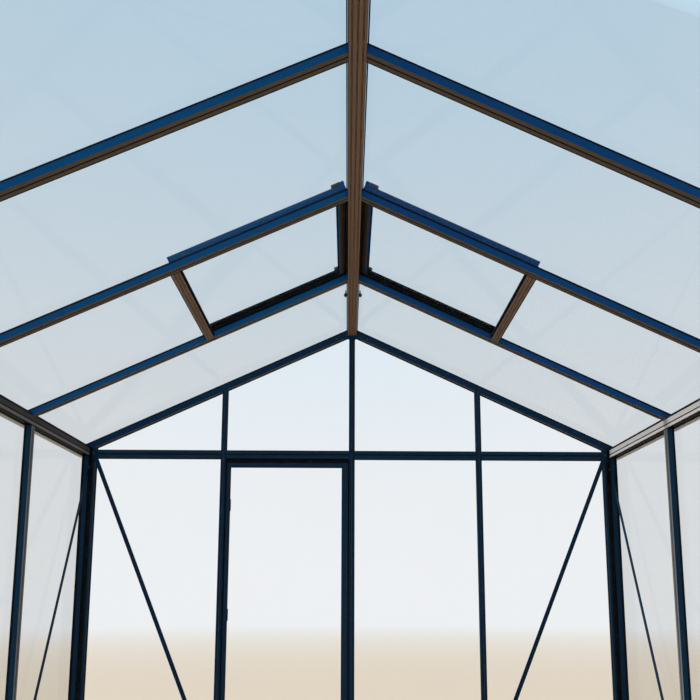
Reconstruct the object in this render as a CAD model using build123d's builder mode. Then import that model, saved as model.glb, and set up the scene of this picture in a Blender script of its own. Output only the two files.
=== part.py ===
"""Glass greenhouse: aluminium bars and clear panes, four bays wide and six bays long.

Millimetres, +Z up, origin on the ground at the middle of the plan. The gable with the door is at -Y.
"""
import os
from math import atan2, cos, degrees, hypot, radians, sin, tan

from build123d import *

os.makedirs("parts", exist_ok=True)

# Module and overall form
BAY = 740.0                  # pitch of the bars, across the gables and along the walls
GABLE_BAYS = 4
SIDE_BAYS = 6
ROOF_SLOPE = 25.0            # degrees
EAVE_HEIGHT = 1889.5         # where the roof's glazing plane meets the inner face of a side wall
WALL_OFFSET = 25.0           # side wall's inner face, beyond the gable's last module line

# Extrusions
BAR_WIDTH = 37.0             # wall bars and rafters
BAR_DEPTH = 30.0             # wall bars, mullions, posts and sills, from inner face to glass
RAFTER_DEPTH = 28.0
MULLION_WIDTH = 30.0
TRANSOM_DROP = 38.5          # transom's top below the eave height
TRANSOM_HEIGHT = 48.0
RAKE_DEPTH = 36.0            # gable rafter below the roof glass
RAKE_LEDGE = 26.0            # gable rafter's seat for the roof glass
RAKE_LIP = 16.0              # its lip over the glass
POST_LEG = 35.0              # corner post's inner face along the gable
POST_SIDE_LEG = 10.0         # and along the side wall
SILL_HEIGHT = 60.0
SILL_FOOT = 30.0
EAVE_BEAM_HEIGHT = 78.5
EAVE_LEDGE_DROP = 21.5       # beam's ledge under the rafters, below the eave height
EAVE_STEP = 20.0             # beam's upper part, set back from its inner face
EAVE_GROOVE = 22.5           # groove above the beam's underside
RIDGE_WIDTH = 52.0
RIDGE_DEPTH = 45.0           # below the apex of the glazing plane
RIDGE_SEAT = 12.0            # width of the ridge's ledge under the panes
RIDGE_LIP = 2.0              # lip over the panes, beyond the ridge's side
WEB = 6.0                    # upstand between two panes
CAP = 3.0                    # glazing cap
CAP_WIDTH = 22.0
EDGE_RADIUS = 1.5
SHEET = 2.0                  # ridge cap and gutter
FOOT_THICKNESS = 3.0

# Slots and grooves in the inner faces
SLOT_MOUTH = 6.0
SLOT_LIP = 2.0
SLOT_WIDTH = 13.0
SLOT_DEPTH = 7.0
GROOVE = 3.0
WIDE_GROOVE = 5.0            # in the ridge and the trimmers
RIDGE_GROOVE_PITCH = 16.0
TRIMMER_GROOVE_PITCH = 13.0

# Glass
GLASS = 4.0
GLASS_PLAY = 0.5             # channel wider than the pane
EDGE_GAP = 1.0               # pane's edge from a web
REBATE = 10.0                # pane's edge inside a channel that has no web
REBATE_SPARE = 2.0
EAVE_OVERHANG = 22.0         # roof panes beyond the wall, over the gutter

# Gutter
GUTTER_WIDTH = 52.0
GUTTER_HEIGHT = 36.0
GUTTER_DROP = 8.0            # gutter's floor above the underside of the eave beam
GUTTER_RADIUS = 9.0
GUTTER_OVERHANG = 45.0       # beyond the gables
END_CAP = 3.0
GUTTER_LIP = 8.0
OUTLET_RADIUS = 16.0
OUTLET_FLANGE = 6.0
OUTLET_LENGTH = 55.0
OUTLET_INSET = 60.0          # outlet's axis from the rear end of the gutter

# Roof vents
VENT_BAYS = (1, SIDE_BAYS - 2)
VENT_TOP = 30.0              # vent's upper end, from the ridge's centre line
VENT_BOTTOM = 706.0
VENT_FRAME_HEIGHT = 30.0
VENT_STILE = 28.0
VENT_HEAD = 36.0
VENT_RAIL = 30.0
VENT_SIDE_GAP = 1.5          # vent's side from the rafter's centre line
VENT_REBATE = 8.0
TRIMMER_TOP = 672.0          # bar under the vent's lower rail
TRIMMER_WIDTH = 45.0
TRIMMER_BODY = 35.0          # its deep part, along the lower edge
TRIMMER_FLANGE = 9.0         # height of the rest
TRIMMER_WEB = 12.0           # its upstand, from the upper edge
TRIMMER_CAP = 22.0
BLOCK_LENGTH = 34.0
BLOCK_HEIGHT = 13.0
BLOCK_OFFSET = 12.0
MITRE_GAP = 0.2

# Braces and gussets
BRACE_WIDTH = 23.0
BRACE_THICKNESS = 4.0
BRACE_HOLE = 3.2
GABLE_BRACE_INSET = 27.0     # gable brace's top bolt from the corner of the inner faces
GABLE_BRACE_DROP = 59.5      # and below the eave height
SIDE_BRACE_INSET = 12.0
SIDE_BRACE_DROP = 144.5
BRACE_FOOT = 38.0            # foot bolt above the ground
GUSSET = 3.0
GUSSET_DROP = 27.0
GUSSET_RISE = 24.0

# Door
BAYS_BEFORE_DOOR = 2         # counted from the -X end of the front gable
THRESHOLD = 25.0
DOOR_GAP = 6.0
DOOR_SETBACK = 8.0           # leaf's inner face from the gable's inner face
DOOR_DEPTH = 27.0
LOCK_STILE = 35.0
HINGE_STILE = 20.0
DOOR_RAIL = 42.0
KICK_RAIL = 70.0
DOOR_REBATE = 8.0
HINGE_COUNT = 3
HINGE_RADIUS = 5.0
HINGE_PIN = 2.2
HINGE_PLAY = 0.4
HINGE_BARREL = 22.0
HINGE_PLATE = 3.0
HINGE_LEAF = 20.0
HINGE_OUT = 7.0              # hinge axis beyond the caps' outer face
HINGE_INSET = 260.0          # outer hinges from the leaf's ends
HANDLE_HEIGHT = 1000.0
HANDLE_LENGTH = 220.0
HANDLE_REACH = 38.0
HANDLE_RADIUS = 6.0
HANDLE_BEND = 12.0

# Derived places
SLOPE = radians(ROOF_SLOPE)
CHANNEL = GLASS + GLASS_PLAY
OUT = BAR_DEPTH + CHANNEL + CAP
CAP_TOP = CHANNEL + CAP
GABLE_Y = SIDE_BAYS * BAY / 2
WALL_X = GABLE_BAYS * BAY / 2 + WALL_OFFSET
APEX = EAVE_HEIGHT + WALL_X * tan(SLOPE)
EAVE_BOTTOM = EAVE_HEIGHT - EAVE_BEAM_HEIGHT
EAVE_LEDGE = EAVE_HEIGHT - EAVE_LEDGE_DROP
EAVE_END = WALL_X + OUT + EAVE_OVERHANG
GUTTER_Y = GABLE_Y + OUT + GUTTER_OVERHANG
OUTLET_Y = GUTTER_Y - OUTLET_INSET
TRANSOM_TOP = EAVE_HEIGHT - TRANSOM_DROP
TRANSOM_Z = TRANSOM_TOP - TRANSOM_HEIGHT / 2
POST_X = WALL_X - POST_LEG
POST_Y = GABLE_Y - POST_SIDE_LEG
MULLIONS = [(i - GABLE_BAYS / 2) * BAY for i in range(1, GABLE_BAYS)]
BARS = [(i - SIDE_BAYS / 2) * BAY for i in range(1, SIDE_BAYS)]
PANE_GAP = WEB / 2 + EDGE_GAP
BEYOND = 2 * (GABLE_Y + WALL_X)  # longer than any cut has to reach
SIDES = (("left", -1), ("right", 1))
GABLES = (("front", -1), ("rear", 1))
LOW = (Align.CENTER, Align.MIN)


def roof_z(x, normal=0.0):
    """Height of the roof's glazing plane at x, or of a plane that far above it."""
    return APEX - abs(x) * tan(SLOPE) + normal / cos(SLOPE)


def save(piece, name):
    """Label a finished piece and write its STEP file."""
    piece.part.label = name
    export_step(piece.part, f"parts/{name}.step")


def bar_plane(origin, outward, along):
    """Section plane of a bar: local y points outward, and the bar runs along local z."""
    return Plane(origin=origin, x_dir=Vector(*outward).cross(Vector(*along)), z_dir=along)


def roof_plane(side, y, normal=0.0):
    """Plane on one slope: local x runs down the slope from the apex, and local z points outward."""
    return Plane(
        origin=(0, y, roof_z(0, normal)),
        x_dir=(side * cos(SLOPE), 0, -sin(SLOPE)),
        z_dir=(side * sin(SLOPE), 0, cos(SLOPE)),
    )


def inner_gable_plane(end):
    """Plane of a gable's inner faces, with local y up and local z into the house."""
    return Plane(origin=(0, end * GABLE_Y, 0), x_dir=(end, 0, 0), z_dir=(0, -end, 0))


def inner_wall_plane(side):
    """Plane of a side wall's inner faces, with local y up and local z into the house."""
    return Plane(origin=(side * WALL_X, 0, 0), x_dir=(0, -side, 0), z_dir=(-side, 0, 0))


def glazing_bar(width, depth):
    """Bar section: a body with a bolt slot, a web between two panes and a cap over their edges."""
    Rectangle(width, depth, align=LOW)
    fillet(vertices().group_by(Axis.Y)[0], EDGE_RADIUS)
    Rectangle(SLOT_MOUTH, SLOT_LIP, align=LOW, mode=Mode.SUBTRACT)
    with Locations((0, SLOT_LIP)):
        Rectangle(SLOT_WIDTH, SLOT_DEPTH, align=LOW, mode=Mode.SUBTRACT)
    with Locations((0, depth)):
        Rectangle(WEB, CHANNEL, align=LOW)
    with Locations((0, depth + CHANNEL)):
        Rectangle(CAP_WIDTH, CAP, align=LOW)


def face_of(points):
    """Face inside a closed outline."""
    with BuildLine() as outline:
        Polyline(*points, close=True)
    make_face(outline.line)


def spans(edges):
    """Middle and width of each stretch between two edges."""
    return [((low + high) / 2, high - low) for low, high in edges]


def bays_between(lines, last, gap, end_gap):
    """Stretches from one end to the other, a gap short of each line between."""
    starts = [-last - end_gap] + [line + gap for line in lines]
    ends = [line - gap for line in lines] + [last + end_gap]
    return list(zip(starts, ends))


def bay_middle(bay):
    """Place along the ridge of the middle of a bay, counted from the front gable."""
    return (bay + 0.5 - SIDE_BAYS / 2) * BAY


def cut_over_rakes():
    """Cut away what stands above the undersides of the two gable rafters."""
    with BuildSketch(Plane.XZ) as above:
        face_of([
            (-WALL_X, roof_z(WALL_X, -RAKE_DEPTH)),
            (0, roof_z(0, -RAKE_DEPTH)),
            (WALL_X, roof_z(WALL_X, -RAKE_DEPTH)),
            (WALL_X, APEX + BEYOND),
            (-WALL_X, APEX + BEYOND),
        ])
    extrude(above.sketch, amount=BEYOND, both=True, mode=Mode.SUBTRACT)


def keep_between_ridge_and_eave(side, low_start, high_start):
    """Trim roof bars: the body is notched over the eave beam, the web and cap run on over it."""
    with BuildSketch(Plane.XZ) as reach:
        face_of([
            (side * low_start, 0),
            (side * WALL_X, 0),
            (side * WALL_X, EAVE_LEDGE),
            (side * (WALL_X + EAVE_STEP), EAVE_LEDGE),
            (side * (WALL_X + EAVE_STEP), roof_z(WALL_X + EAVE_STEP)),
            (side * EAVE_END, roof_z(EAVE_END)),
            (side * EAVE_END, APEX + BEYOND),
            (side * high_start, APEX + BEYOND),
            (side * high_start, roof_z(high_start)),
            (side * low_start, roof_z(low_start)),
        ])
    extrude(reach.sketch, amount=BEYOND, both=True, mode=Mode.INTERSECT)


# Side sills
for name, side in SIDES:
    with BuildPart() as sill:
        with BuildSketch(Plane.XZ):
            with Locations((side * (WALL_X + OUT / 2), 0)):
                Rectangle(OUT, SILL_HEIGHT, align=LOW)
            with Locations((side * (WALL_X - SILL_FOOT / 2), 0)):
                Rectangle(SILL_FOOT, FOOT_THICKNESS, align=LOW)
            with Locations((side * (WALL_X + BAR_DEPTH + CHANNEL / 2), SILL_HEIGHT - REBATE)):
                Rectangle(CHANNEL, REBATE, align=LOW, mode=Mode.SUBTRACT)
            with Locations((side * (WALL_X + GROOVE / 2), SILL_HEIGHT / 2)):
                Rectangle(GROOVE, GROOVE, mode=Mode.SUBTRACT)
        extrude(amount=POST_Y, both=True)
    save(sill, f"sill_{name}")

# Gable sills, one length in each bay that has no door
for name, end in GABLES:
    bays = bays_between(MULLIONS, POST_X, MULLION_WIDTH / 2, 0)
    if end < 0:
        bays.pop(BAYS_BEFORE_DOOR)
    with BuildPart() as sill:
        for middle, width in spans(bays):
            plane = Plane(origin=(middle, end * GABLE_Y, 0), x_dir=(0, end, 0), z_dir=(end, 0, 0))
            with BuildSketch(plane):
                with Locations((OUT / 2, 0)):
                    Rectangle(OUT, SILL_HEIGHT, align=LOW)
                with Locations((-SILL_FOOT / 2, 0)):
                    Rectangle(SILL_FOOT, FOOT_THICKNESS, align=LOW)
                with Locations((BAR_DEPTH + CHANNEL / 2, SILL_HEIGHT - REBATE)):
                    Rectangle(CHANNEL, REBATE, align=LOW, mode=Mode.SUBTRACT)
                with Locations((GROOVE / 2, SILL_HEIGHT / 2)):
                    Rectangle(GROOVE, GROOVE, mode=Mode.SUBTRACT)
            extrude(amount=width / 2, both=True)
    save(sill, f"sill_{name}")

# Corner posts
for gable_name, end in GABLES:
    for side_name, side in SIDES:
        with BuildPart() as post:
            with BuildSketch():
                face_of([
                    (side * POST_X, end * GABLE_Y),
                    (side * WALL_X, end * GABLE_Y),
                    (side * WALL_X, end * POST_Y),
                    (side * (WALL_X + OUT), end * POST_Y),
                    (side * (WALL_X + OUT), end * (GABLE_Y + OUT)),
                    (side * POST_X, end * (GABLE_Y + OUT)),
                ])
                with Locations((side * (POST_X + (REBATE + REBATE_SPARE) / 2),
                                end * (GABLE_Y + BAR_DEPTH + CHANNEL / 2))):
                    Rectangle(REBATE + REBATE_SPARE, CHANNEL, mode=Mode.SUBTRACT)
                with Locations((side * (WALL_X + BAR_DEPTH + CHANNEL / 2),
                                end * (POST_Y + (REBATE + REBATE_SPARE) / 2))):
                    Rectangle(CHANNEL, REBATE + REBATE_SPARE, mode=Mode.SUBTRACT)
                with Locations((side * (POST_X + POST_LEG / 2), end * (GABLE_Y + GROOVE / 2))):
                    Rectangle(SLOT_MOUTH, GROOVE, mode=Mode.SUBTRACT)
                with Locations((side * (WALL_X + GROOVE / 2), end * (POST_Y + POST_SIDE_LEG / 2))):
                    Rectangle(GROOVE, GROOVE, mode=Mode.SUBTRACT)
            extrude(amount=APEX)
            with BuildSketch(Plane.XZ):
                face_of([
                    (side * (WALL_X + OUT), EAVE_BOTTOM),
                    (side * WALL_X, EAVE_BOTTOM),
                    (side * WALL_X, roof_z(WALL_X, -RAKE_DEPTH)),
                    (side * POST_X, roof_z(POST_X, -RAKE_DEPTH)),
                    (side * POST_X, APEX + BEYOND),
                    (side * (WALL_X + OUT), APEX + BEYOND),
                ])
            extrude(amount=BEYOND, both=True, mode=Mode.SUBTRACT)
        save(post, f"corner_post_{gable_name}_{side_name}")

# Side wall bars
for name, side in SIDES:
    with BuildPart() as bars:
        planes = [bar_plane((side * WALL_X, y, SILL_HEIGHT), (side, 0, 0), (0, 0, 1)) for y in BARS]
        with BuildSketch(*planes):
            glazing_bar(BAR_WIDTH, BAR_DEPTH)
        extrude(amount=EAVE_BOTTOM - SILL_HEIGHT)
    save(bars, f"wall_bars_{name}")

# Eave beams with their gutters
gutter_x = WALL_X + OUT
gutter_middle = gutter_x + GUTTER_WIDTH / 2
gutter_z = EAVE_BOTTOM + GUTTER_DROP
for name, side in SIDES:
    with BuildPart() as beam:
        with BuildSketch(Plane.XZ):
            face_of([
                (side * WALL_X, EAVE_BOTTOM),
                (side * gutter_x, EAVE_BOTTOM),
                (side * gutter_x, roof_z(gutter_x)),
                (side * (WALL_X + EAVE_STEP), roof_z(WALL_X + EAVE_STEP)),
                (side * (WALL_X + EAVE_STEP), EAVE_LEDGE),
                (side * WALL_X, EAVE_LEDGE),
            ])
            with Locations((side * (WALL_X + BAR_DEPTH + CHANNEL / 2), EAVE_BOTTOM)):
                Rectangle(CHANNEL, REBATE + REBATE_SPARE, align=LOW, mode=Mode.SUBTRACT)
            with Locations((side * (WALL_X + GROOVE / 2), EAVE_BOTTOM + EAVE_GROOVE)):
                Rectangle(GROOVE, SLOT_MOUTH, mode=Mode.SUBTRACT)
        extrude(amount=GABLE_Y + OUT, both=True)
        with BuildSketch(Plane.XZ):
            with Locations((side * gutter_middle, gutter_z)):
                Rectangle(GUTTER_WIDTH, GUTTER_HEIGHT, align=LOW)
            fillet(vertices().group_by(Axis.Y)[0], GUTTER_RADIUS)
        extrude(amount=GUTTER_Y, both=True)
        with BuildSketch(Plane.XZ):
            with Locations((side * gutter_middle, gutter_z + SHEET)):
                Rectangle(GUTTER_WIDTH - 2 * SHEET, GUTTER_HEIGHT, align=LOW)
            fillet(vertices().group_by(Axis.Y)[0], GUTTER_RADIUS - SHEET)
        extrude(amount=GUTTER_Y, both=True, mode=Mode.SUBTRACT)
        with BuildSketch(Plane.XZ):
            with Locations((side * (gutter_x + GUTTER_WIDTH - GUTTER_LIP / 2), gutter_z + GUTTER_HEIGHT)):
                Rectangle(GUTTER_LIP, SHEET, align=(Align.CENTER, Align.MAX))
        extrude(amount=GUTTER_Y, both=True)
        with BuildSketch(Plane.XY.offset(gutter_z)):
            with Locations((side * gutter_middle, OUTLET_Y)):
                Circle(OUTLET_RADIUS - SHEET)
        extrude(amount=SHEET, mode=Mode.SUBTRACT)
    save(beam, f"eave_beam_{name}")

# Outlet spouts under the gutters, at the rear corners
with BuildPart() as outlets:
    for _, side in SIDES:
        floor = Plane.XY.offset(gutter_z)
        with BuildSketch(floor):
            with Locations((side * gutter_middle, OUTLET_Y)):
                Circle(OUTLET_RADIUS + OUTLET_FLANGE)
                Circle(OUTLET_RADIUS - SHEET, mode=Mode.SUBTRACT)
        extrude(amount=-SHEET)
        with BuildSketch(floor):
            with Locations((side * gutter_middle, OUTLET_Y)):
                Circle(OUTLET_RADIUS)
                Circle(OUTLET_RADIUS - SHEET, mode=Mode.SUBTRACT)
        extrude(amount=-OUTLET_LENGTH)
save(outlets, "gutter_outlets")

# Plates that close the ends of the gutters
with BuildPart() as gutter_ends:
    for side in (-1, 1):
        for end in (-1, 1):
            with BuildSketch(Plane.XZ.offset(-end * GUTTER_Y)):
                with Locations((side * gutter_middle, gutter_z)):
                    Rectangle(GUTTER_WIDTH, GUTTER_HEIGHT, align=LOW)
                fillet(vertices().group_by(Axis.Y)[0], GUTTER_RADIUS)
            extrude(amount=-end * END_CAP)
save(gutter_ends, "gutter_end_plates")

# Gable mullions
for name, end in GABLES:
    with BuildPart() as mullions:
        planes = [bar_plane((x, end * GABLE_Y, 0), (0, end, 0), (0, 0, 1)) for x in MULLIONS]
        with BuildSketch(*planes):
            glazing_bar(MULLION_WIDTH, BAR_DEPTH)
        extrude(amount=APEX)
        cut_over_rakes()
    save(mullions, f"gable_mullions_{name}")

# Transoms between the posts and mullions
for name, end in GABLES:
    with BuildPart() as transoms:
        for middle, width in spans(bays_between(MULLIONS, POST_X, MULLION_WIDTH / 2, 0)):
            with BuildSketch(bar_plane((middle, end * GABLE_Y, TRANSOM_Z), (0, end, 0), (1, 0, 0))):
                glazing_bar(TRANSOM_HEIGHT, BAR_DEPTH)
            extrude(amount=width / 2, both=True)
    save(transoms, f"transoms_{name}")

# Gable rafters
for name, end in GABLES:
    with BuildPart() as rakes:
        section = Plane(origin=(0, end * GABLE_Y, APEX), x_dir=(0, 1, 0),
                        z_dir=(cos(SLOPE), 0, -sin(SLOPE)))
        with BuildSketch(section):
            face_of([
                (0, -RAKE_DEPTH),
                (end * BAR_DEPTH, -RAKE_DEPTH),
                (end * BAR_DEPTH, -RAKE_DEPTH + REBATE),
                (end * (BAR_DEPTH + CHANNEL), -RAKE_DEPTH + REBATE),
                (end * (BAR_DEPTH + CHANNEL), -RAKE_DEPTH),
                (end * OUT, -RAKE_DEPTH),
                (end * OUT, CAP_TOP),
                (end * (RAKE_LEDGE - RAKE_LIP), CAP_TOP),
                (end * (RAKE_LEDGE - RAKE_LIP), CHANNEL),
                (end * RAKE_LEDGE, CHANNEL),
                (end * RAKE_LEDGE, 0),
                (0, 0),
            ])
            with Locations((end * GROOVE / 2, -RAKE_DEPTH / 2)):
                Rectangle(GROOVE, GROOVE, mode=Mode.SUBTRACT)
        extrude(amount=2 * WALL_X, both=True)
        keep_between_ridge_and_eave(1, MITRE_GAP / 2, MITRE_GAP)
        mirror(about=Plane.YZ)
    save(rakes, f"gable_rafters_{name}")

# Ridge beam
with BuildPart() as ridge:
    half = RIDGE_WIDTH / 2
    seat = half - RIDGE_SEAT
    lip = half + RIDGE_LIP
    with BuildSketch(Plane.XZ):
        face_of([
            (-half, APEX - RIDGE_DEPTH),
            (half, APEX - RIDGE_DEPTH),
            (half, roof_z(half)),
            (seat, roof_z(seat)),
            (seat, roof_z(seat, CHANNEL)),
            (lip, roof_z(lip, CHANNEL)),
            (lip, roof_z(lip, CAP_TOP)),
            (0, roof_z(0, CAP_TOP)),
            (-lip, roof_z(lip, CAP_TOP)),
            (-lip, roof_z(lip, CHANNEL)),
            (-seat, roof_z(seat, CHANNEL)),
            (-seat, roof_z(seat)),
            (-half, roof_z(half)),
        ])
        fillet(vertices().group_by(Axis.Y)[0], EDGE_RADIUS)
        with GridLocations(RIDGE_GROOVE_PITCH, 1, 3, 1):
            with Locations((0, APEX - RIDGE_DEPTH)):
                Rectangle(WIDE_GROOVE, WIDE_GROOVE, align=LOW, mode=Mode.SUBTRACT)
    extrude(amount=GABLE_Y - GUSSET, both=True)
save(ridge, "ridge_beam")

# Folded strip over the ridge
with BuildPart() as ridge_cap:
    lip = RIDGE_WIDTH / 2 + RIDGE_LIP
    with BuildSketch(Plane.XZ):
        face_of([
            (-lip, roof_z(lip, CAP_TOP)),
            (0, roof_z(0, CAP_TOP)),
            (lip, roof_z(lip, CAP_TOP)),
            (lip, roof_z(lip, CAP_TOP + SHEET)),
            (0, roof_z(0, CAP_TOP + SHEET)),
            (-lip, roof_z(lip, CAP_TOP + SHEET)),
        ])
    extrude(amount=GABLE_Y + OUT, both=True)
save(ridge_cap, "ridge_cap")

# Rafters
for name, side in SIDES:
    with BuildPart() as rafters:
        planes = [
            bar_plane((0, y, roof_z(0, -RAFTER_DEPTH)), (side * sin(SLOPE), 0, cos(SLOPE)),
                      (side * cos(SLOPE), 0, -sin(SLOPE)))
            for y in BARS
        ]
        with BuildSketch(*planes):
            glazing_bar(BAR_WIDTH, RAFTER_DEPTH)
        extrude(amount=2 * WALL_X)
        keep_between_ridge_and_eave(side, RIDGE_WIDTH / 2, RIDGE_WIDTH / 2 + RIDGE_LIP + EDGE_GAP)
    save(rafters, f"rafters_{name}")

# Trimmer bars under the lower rails of the vents
with BuildPart() as trimmers:
    for side in (-1, 1):
        for bay in VENT_BAYS:
            origin = roof_plane(side, bay_middle(bay)).from_local_coords((TRIMMER_TOP / cos(SLOPE), 0, 0))
            section = Plane(origin=origin, x_dir=(side * cos(SLOPE), 0, -sin(SLOPE)), z_dir=(0, -side, 0))
            with BuildSketch(section):
                with Locations((TRIMMER_WIDTH - TRIMMER_BODY / 2, -RAFTER_DEPTH)):
                    Rectangle(TRIMMER_BODY, RAFTER_DEPTH, align=LOW)
                    fillet(vertices().group_by(Axis.Y)[0], EDGE_RADIUS)
                with Locations((TRIMMER_WIDTH / 2, -TRIMMER_FLANGE)):
                    Rectangle(TRIMMER_WIDTH, TRIMMER_FLANGE, align=LOW)
                with Locations((TRIMMER_WEB, 0)):
                    Rectangle(WEB, CHANNEL, align=LOW)
                with Locations((TRIMMER_WEB + WEB / 2, CHANNEL)):
                    Rectangle(TRIMMER_CAP, CAP, align=LOW)
                with Locations((TRIMMER_WIDTH - TRIMMER_BODY / 2, -RAFTER_DEPTH)):
                    with GridLocations(TRIMMER_GROOVE_PITCH, 1, 2, 1):
                        Rectangle(WIDE_GROOVE, WIDE_GROOVE, align=LOW, mode=Mode.SUBTRACT)
            extrude(amount=(BAY - BAR_WIDTH) / 2, both=True)
save(trimmers, "vent_trimmers")

# Roof vents, closed: two stiles over the rafters, with the head and lower rail between them
vent_start = VENT_TOP / cos(SLOPE)
vent_end = VENT_BOTTOM / cos(SLOPE)
vent_half = BAY / 2 - VENT_SIDE_GAP
pane_low = CAP_TOP + (VENT_FRAME_HEIGHT - CHANNEL) / 2
for name, side in SIDES:
    with BuildPart() as vent_frames:
        for bay in VENT_BAYS:
            middle = bay_middle(bay)
            with BuildSketch(roof_plane(side, middle, CAP_TOP)):
                for row in (-1, 1):
                    with Locations(((vent_start + vent_end) / 2, row * (vent_half - VENT_STILE / 2))):
                        Rectangle(vent_end - vent_start, VENT_STILE)
                inner = vent_half - VENT_STILE - MITRE_GAP
                with Locations((vent_start + VENT_HEAD / 2, 0)):
                    Rectangle(VENT_HEAD, 2 * inner)
                with Locations((vent_end - VENT_RAIL / 2, 0)):
                    Rectangle(VENT_RAIL, 2 * inner)
            extrude(amount=VENT_FRAME_HEIGHT)
            with BuildSketch(roof_plane(side, middle, pane_low)):
                start = vent_start + VENT_HEAD - VENT_REBATE
                stop = vent_end - VENT_RAIL + VENT_REBATE
                with Locations(((start + stop) / 2, 0)):
                    Rectangle(stop - start, 2 * (vent_half - VENT_STILE + VENT_REBATE))
            extrude(amount=CHANNEL, mode=Mode.SUBTRACT)
            with BuildSketch(roof_plane(side, middle, CAP_TOP + VENT_FRAME_HEIGHT)):
                for row in (-1, 1):
                    with Locations((vent_start + BLOCK_OFFSET + BLOCK_LENGTH / 2,
                                    row * (vent_half - VENT_STILE / 2))):
                        Rectangle(BLOCK_LENGTH, VENT_STILE)
            extrude(amount=BLOCK_HEIGHT)
    save(vent_frames, f"vent_frames_{name}")

with BuildPart() as vent_glass:
    for side in (-1, 1):
        for bay in VENT_BAYS:
            middle = bay_middle(bay)
            edge = VENT_REBATE - EDGE_GAP
            start = vent_start + VENT_HEAD - edge
            stop = vent_end - VENT_RAIL + edge
            with BuildSketch(roof_plane(side, middle, pane_low)):
                with Locations(((start + stop) / 2, 0)):
                    Rectangle(stop - start, 2 * (vent_half - VENT_STILE + edge))
            extrude(amount=GLASS)
save(vent_glass, "vent_glass")

# Corner braces, from the top of each post to the foot of the next bar
for name, planes, top_x, top_z, foot in (
    ("gable", [inner_gable_plane(end) for _, end in GABLES],
     WALL_X - GABLE_BRACE_INSET, EAVE_HEIGHT - GABLE_BRACE_DROP, MULLIONS[-1]),
    ("side", [inner_wall_plane(side) for _, side in SIDES],
     GABLE_Y - SIDE_BRACE_INSET, EAVE_HEIGHT - SIDE_BRACE_DROP, BARS[-1]),
):
    run = top_x - foot
    rise = top_z - BRACE_FOOT
    with BuildPart() as braces:
        with BuildSketch(*planes):
            for row in (-1, 1):
                with Locations((row * (top_x + foot) / 2, (top_z + BRACE_FOOT) / 2)):
                    SlotCenterToCenter(hypot(run, rise), BRACE_WIDTH,
                                       rotation=90 - row * (90 - degrees(atan2(rise, run))))
                with Locations((row * top_x, top_z), (row * foot, BRACE_FOOT)):
                    Circle(BRACE_HOLE, mode=Mode.SUBTRACT)
        extrude(amount=BRACE_THICKNESS)
    save(braces, f"{name}_braces")

# Gusset plates at the apex of each gable
with BuildPart() as gussets:
    for end in (-1, 1):
        with BuildSketch(inner_gable_plane(end)):
            reach = 2 * GUSSET_DROP / tan(SLOPE)
            face_of([
                (-reach / 2, roof_z(0, -RAKE_DEPTH) - GUSSET_DROP),
                (reach / 2, roof_z(0, -RAKE_DEPTH) - GUSSET_DROP),
                (reach, roof_z(reach, -RAKE_DEPTH) + EDGE_RADIUS),
                (reach, roof_z(reach, GUSSET_RISE - RAKE_DEPTH)),
                (0, roof_z(0, GUSSET_RISE - RAKE_DEPTH)),
                (-reach, roof_z(reach, GUSSET_RISE - RAKE_DEPTH)),
                (-reach, roof_z(reach, -RAKE_DEPTH) + EDGE_RADIUS),
            ])
        extrude(amount=GUSSET)
save(gussets, "apex_gussets")

# Side wall panes
for name, side in SIDES:
    with BuildPart() as panes:
        with BuildSketch(Plane.XY.offset(SILL_HEIGHT - REBATE)):
            for middle, width in spans(bays_between(BARS, POST_Y, PANE_GAP, REBATE)):
                with Locations((side * (WALL_X + BAR_DEPTH + GLASS / 2), middle)):
                    Rectangle(GLASS, width)
        extrude(amount=EAVE_BOTTOM - SILL_HEIGHT + 2 * REBATE)
    save(panes, f"glass_{name}")

# Gable panes, below and above the transoms
for name, end in GABLES:
    bays = bays_between(MULLIONS, POST_X, PANE_GAP, REBATE)
    pane_plane = Plane(origin=(0, end * (GABLE_Y + BAR_DEPTH), 0), x_dir=(-end, 0, 0), z_dir=(0, end, 0))
    with BuildPart() as panes:
        with BuildSketch(pane_plane):
            for index, (low, high) in enumerate(bays):
                middle = -end * (low + high) / 2
                if end > 0 or index != BAYS_BEFORE_DOOR:
                    with Locations((middle, SILL_HEIGHT - REBATE)):
                        Rectangle(high - low, TRANSOM_Z - PANE_GAP - SILL_HEIGHT + REBATE, align=LOW)
                with Locations((middle, TRANSOM_Z + PANE_GAP)):
                    Rectangle(high - low, APEX, align=LOW)
        extrude(amount=GLASS)
        with BuildSketch(Plane.XZ):
            edge = REBATE - REBATE_SPARE - RAKE_DEPTH
            face_of([
                (-WALL_X, roof_z(WALL_X, edge)),
                (0, roof_z(0, edge)),
                (WALL_X, roof_z(WALL_X, edge)),
                (WALL_X, APEX + BEYOND),
                (-WALL_X, APEX + BEYOND),
            ])
        extrude(amount=BEYOND, both=True, mode=Mode.SUBTRACT)
    save(panes, f"glass_{name}")

# Roof panes, shorter below a vent
for name, side in SIDES:
    edge = RAKE_LEDGE - EDGE_GAP
    with BuildPart() as panes:
        with BuildSketch(roof_plane(side, 0)):
            for index, (middle, width) in enumerate(spans(bays_between(BARS, GABLE_Y, PANE_GAP, edge))):
                if index in VENT_BAYS:
                    start = TRIMMER_TOP / cos(SLOPE) + TRIMMER_WEB + PANE_GAP
                else:
                    start = (RIDGE_WIDTH / 2 - RIDGE_SEAT + EDGE_GAP) / cos(SLOPE)
                stop = EAVE_END / cos(SLOPE)
                with Locations(((start + stop) / 2, side * middle)):
                    Rectangle(stop - start, width)
        extrude(amount=GLASS)
    save(panes, f"glass_roof_{name}")

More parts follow.
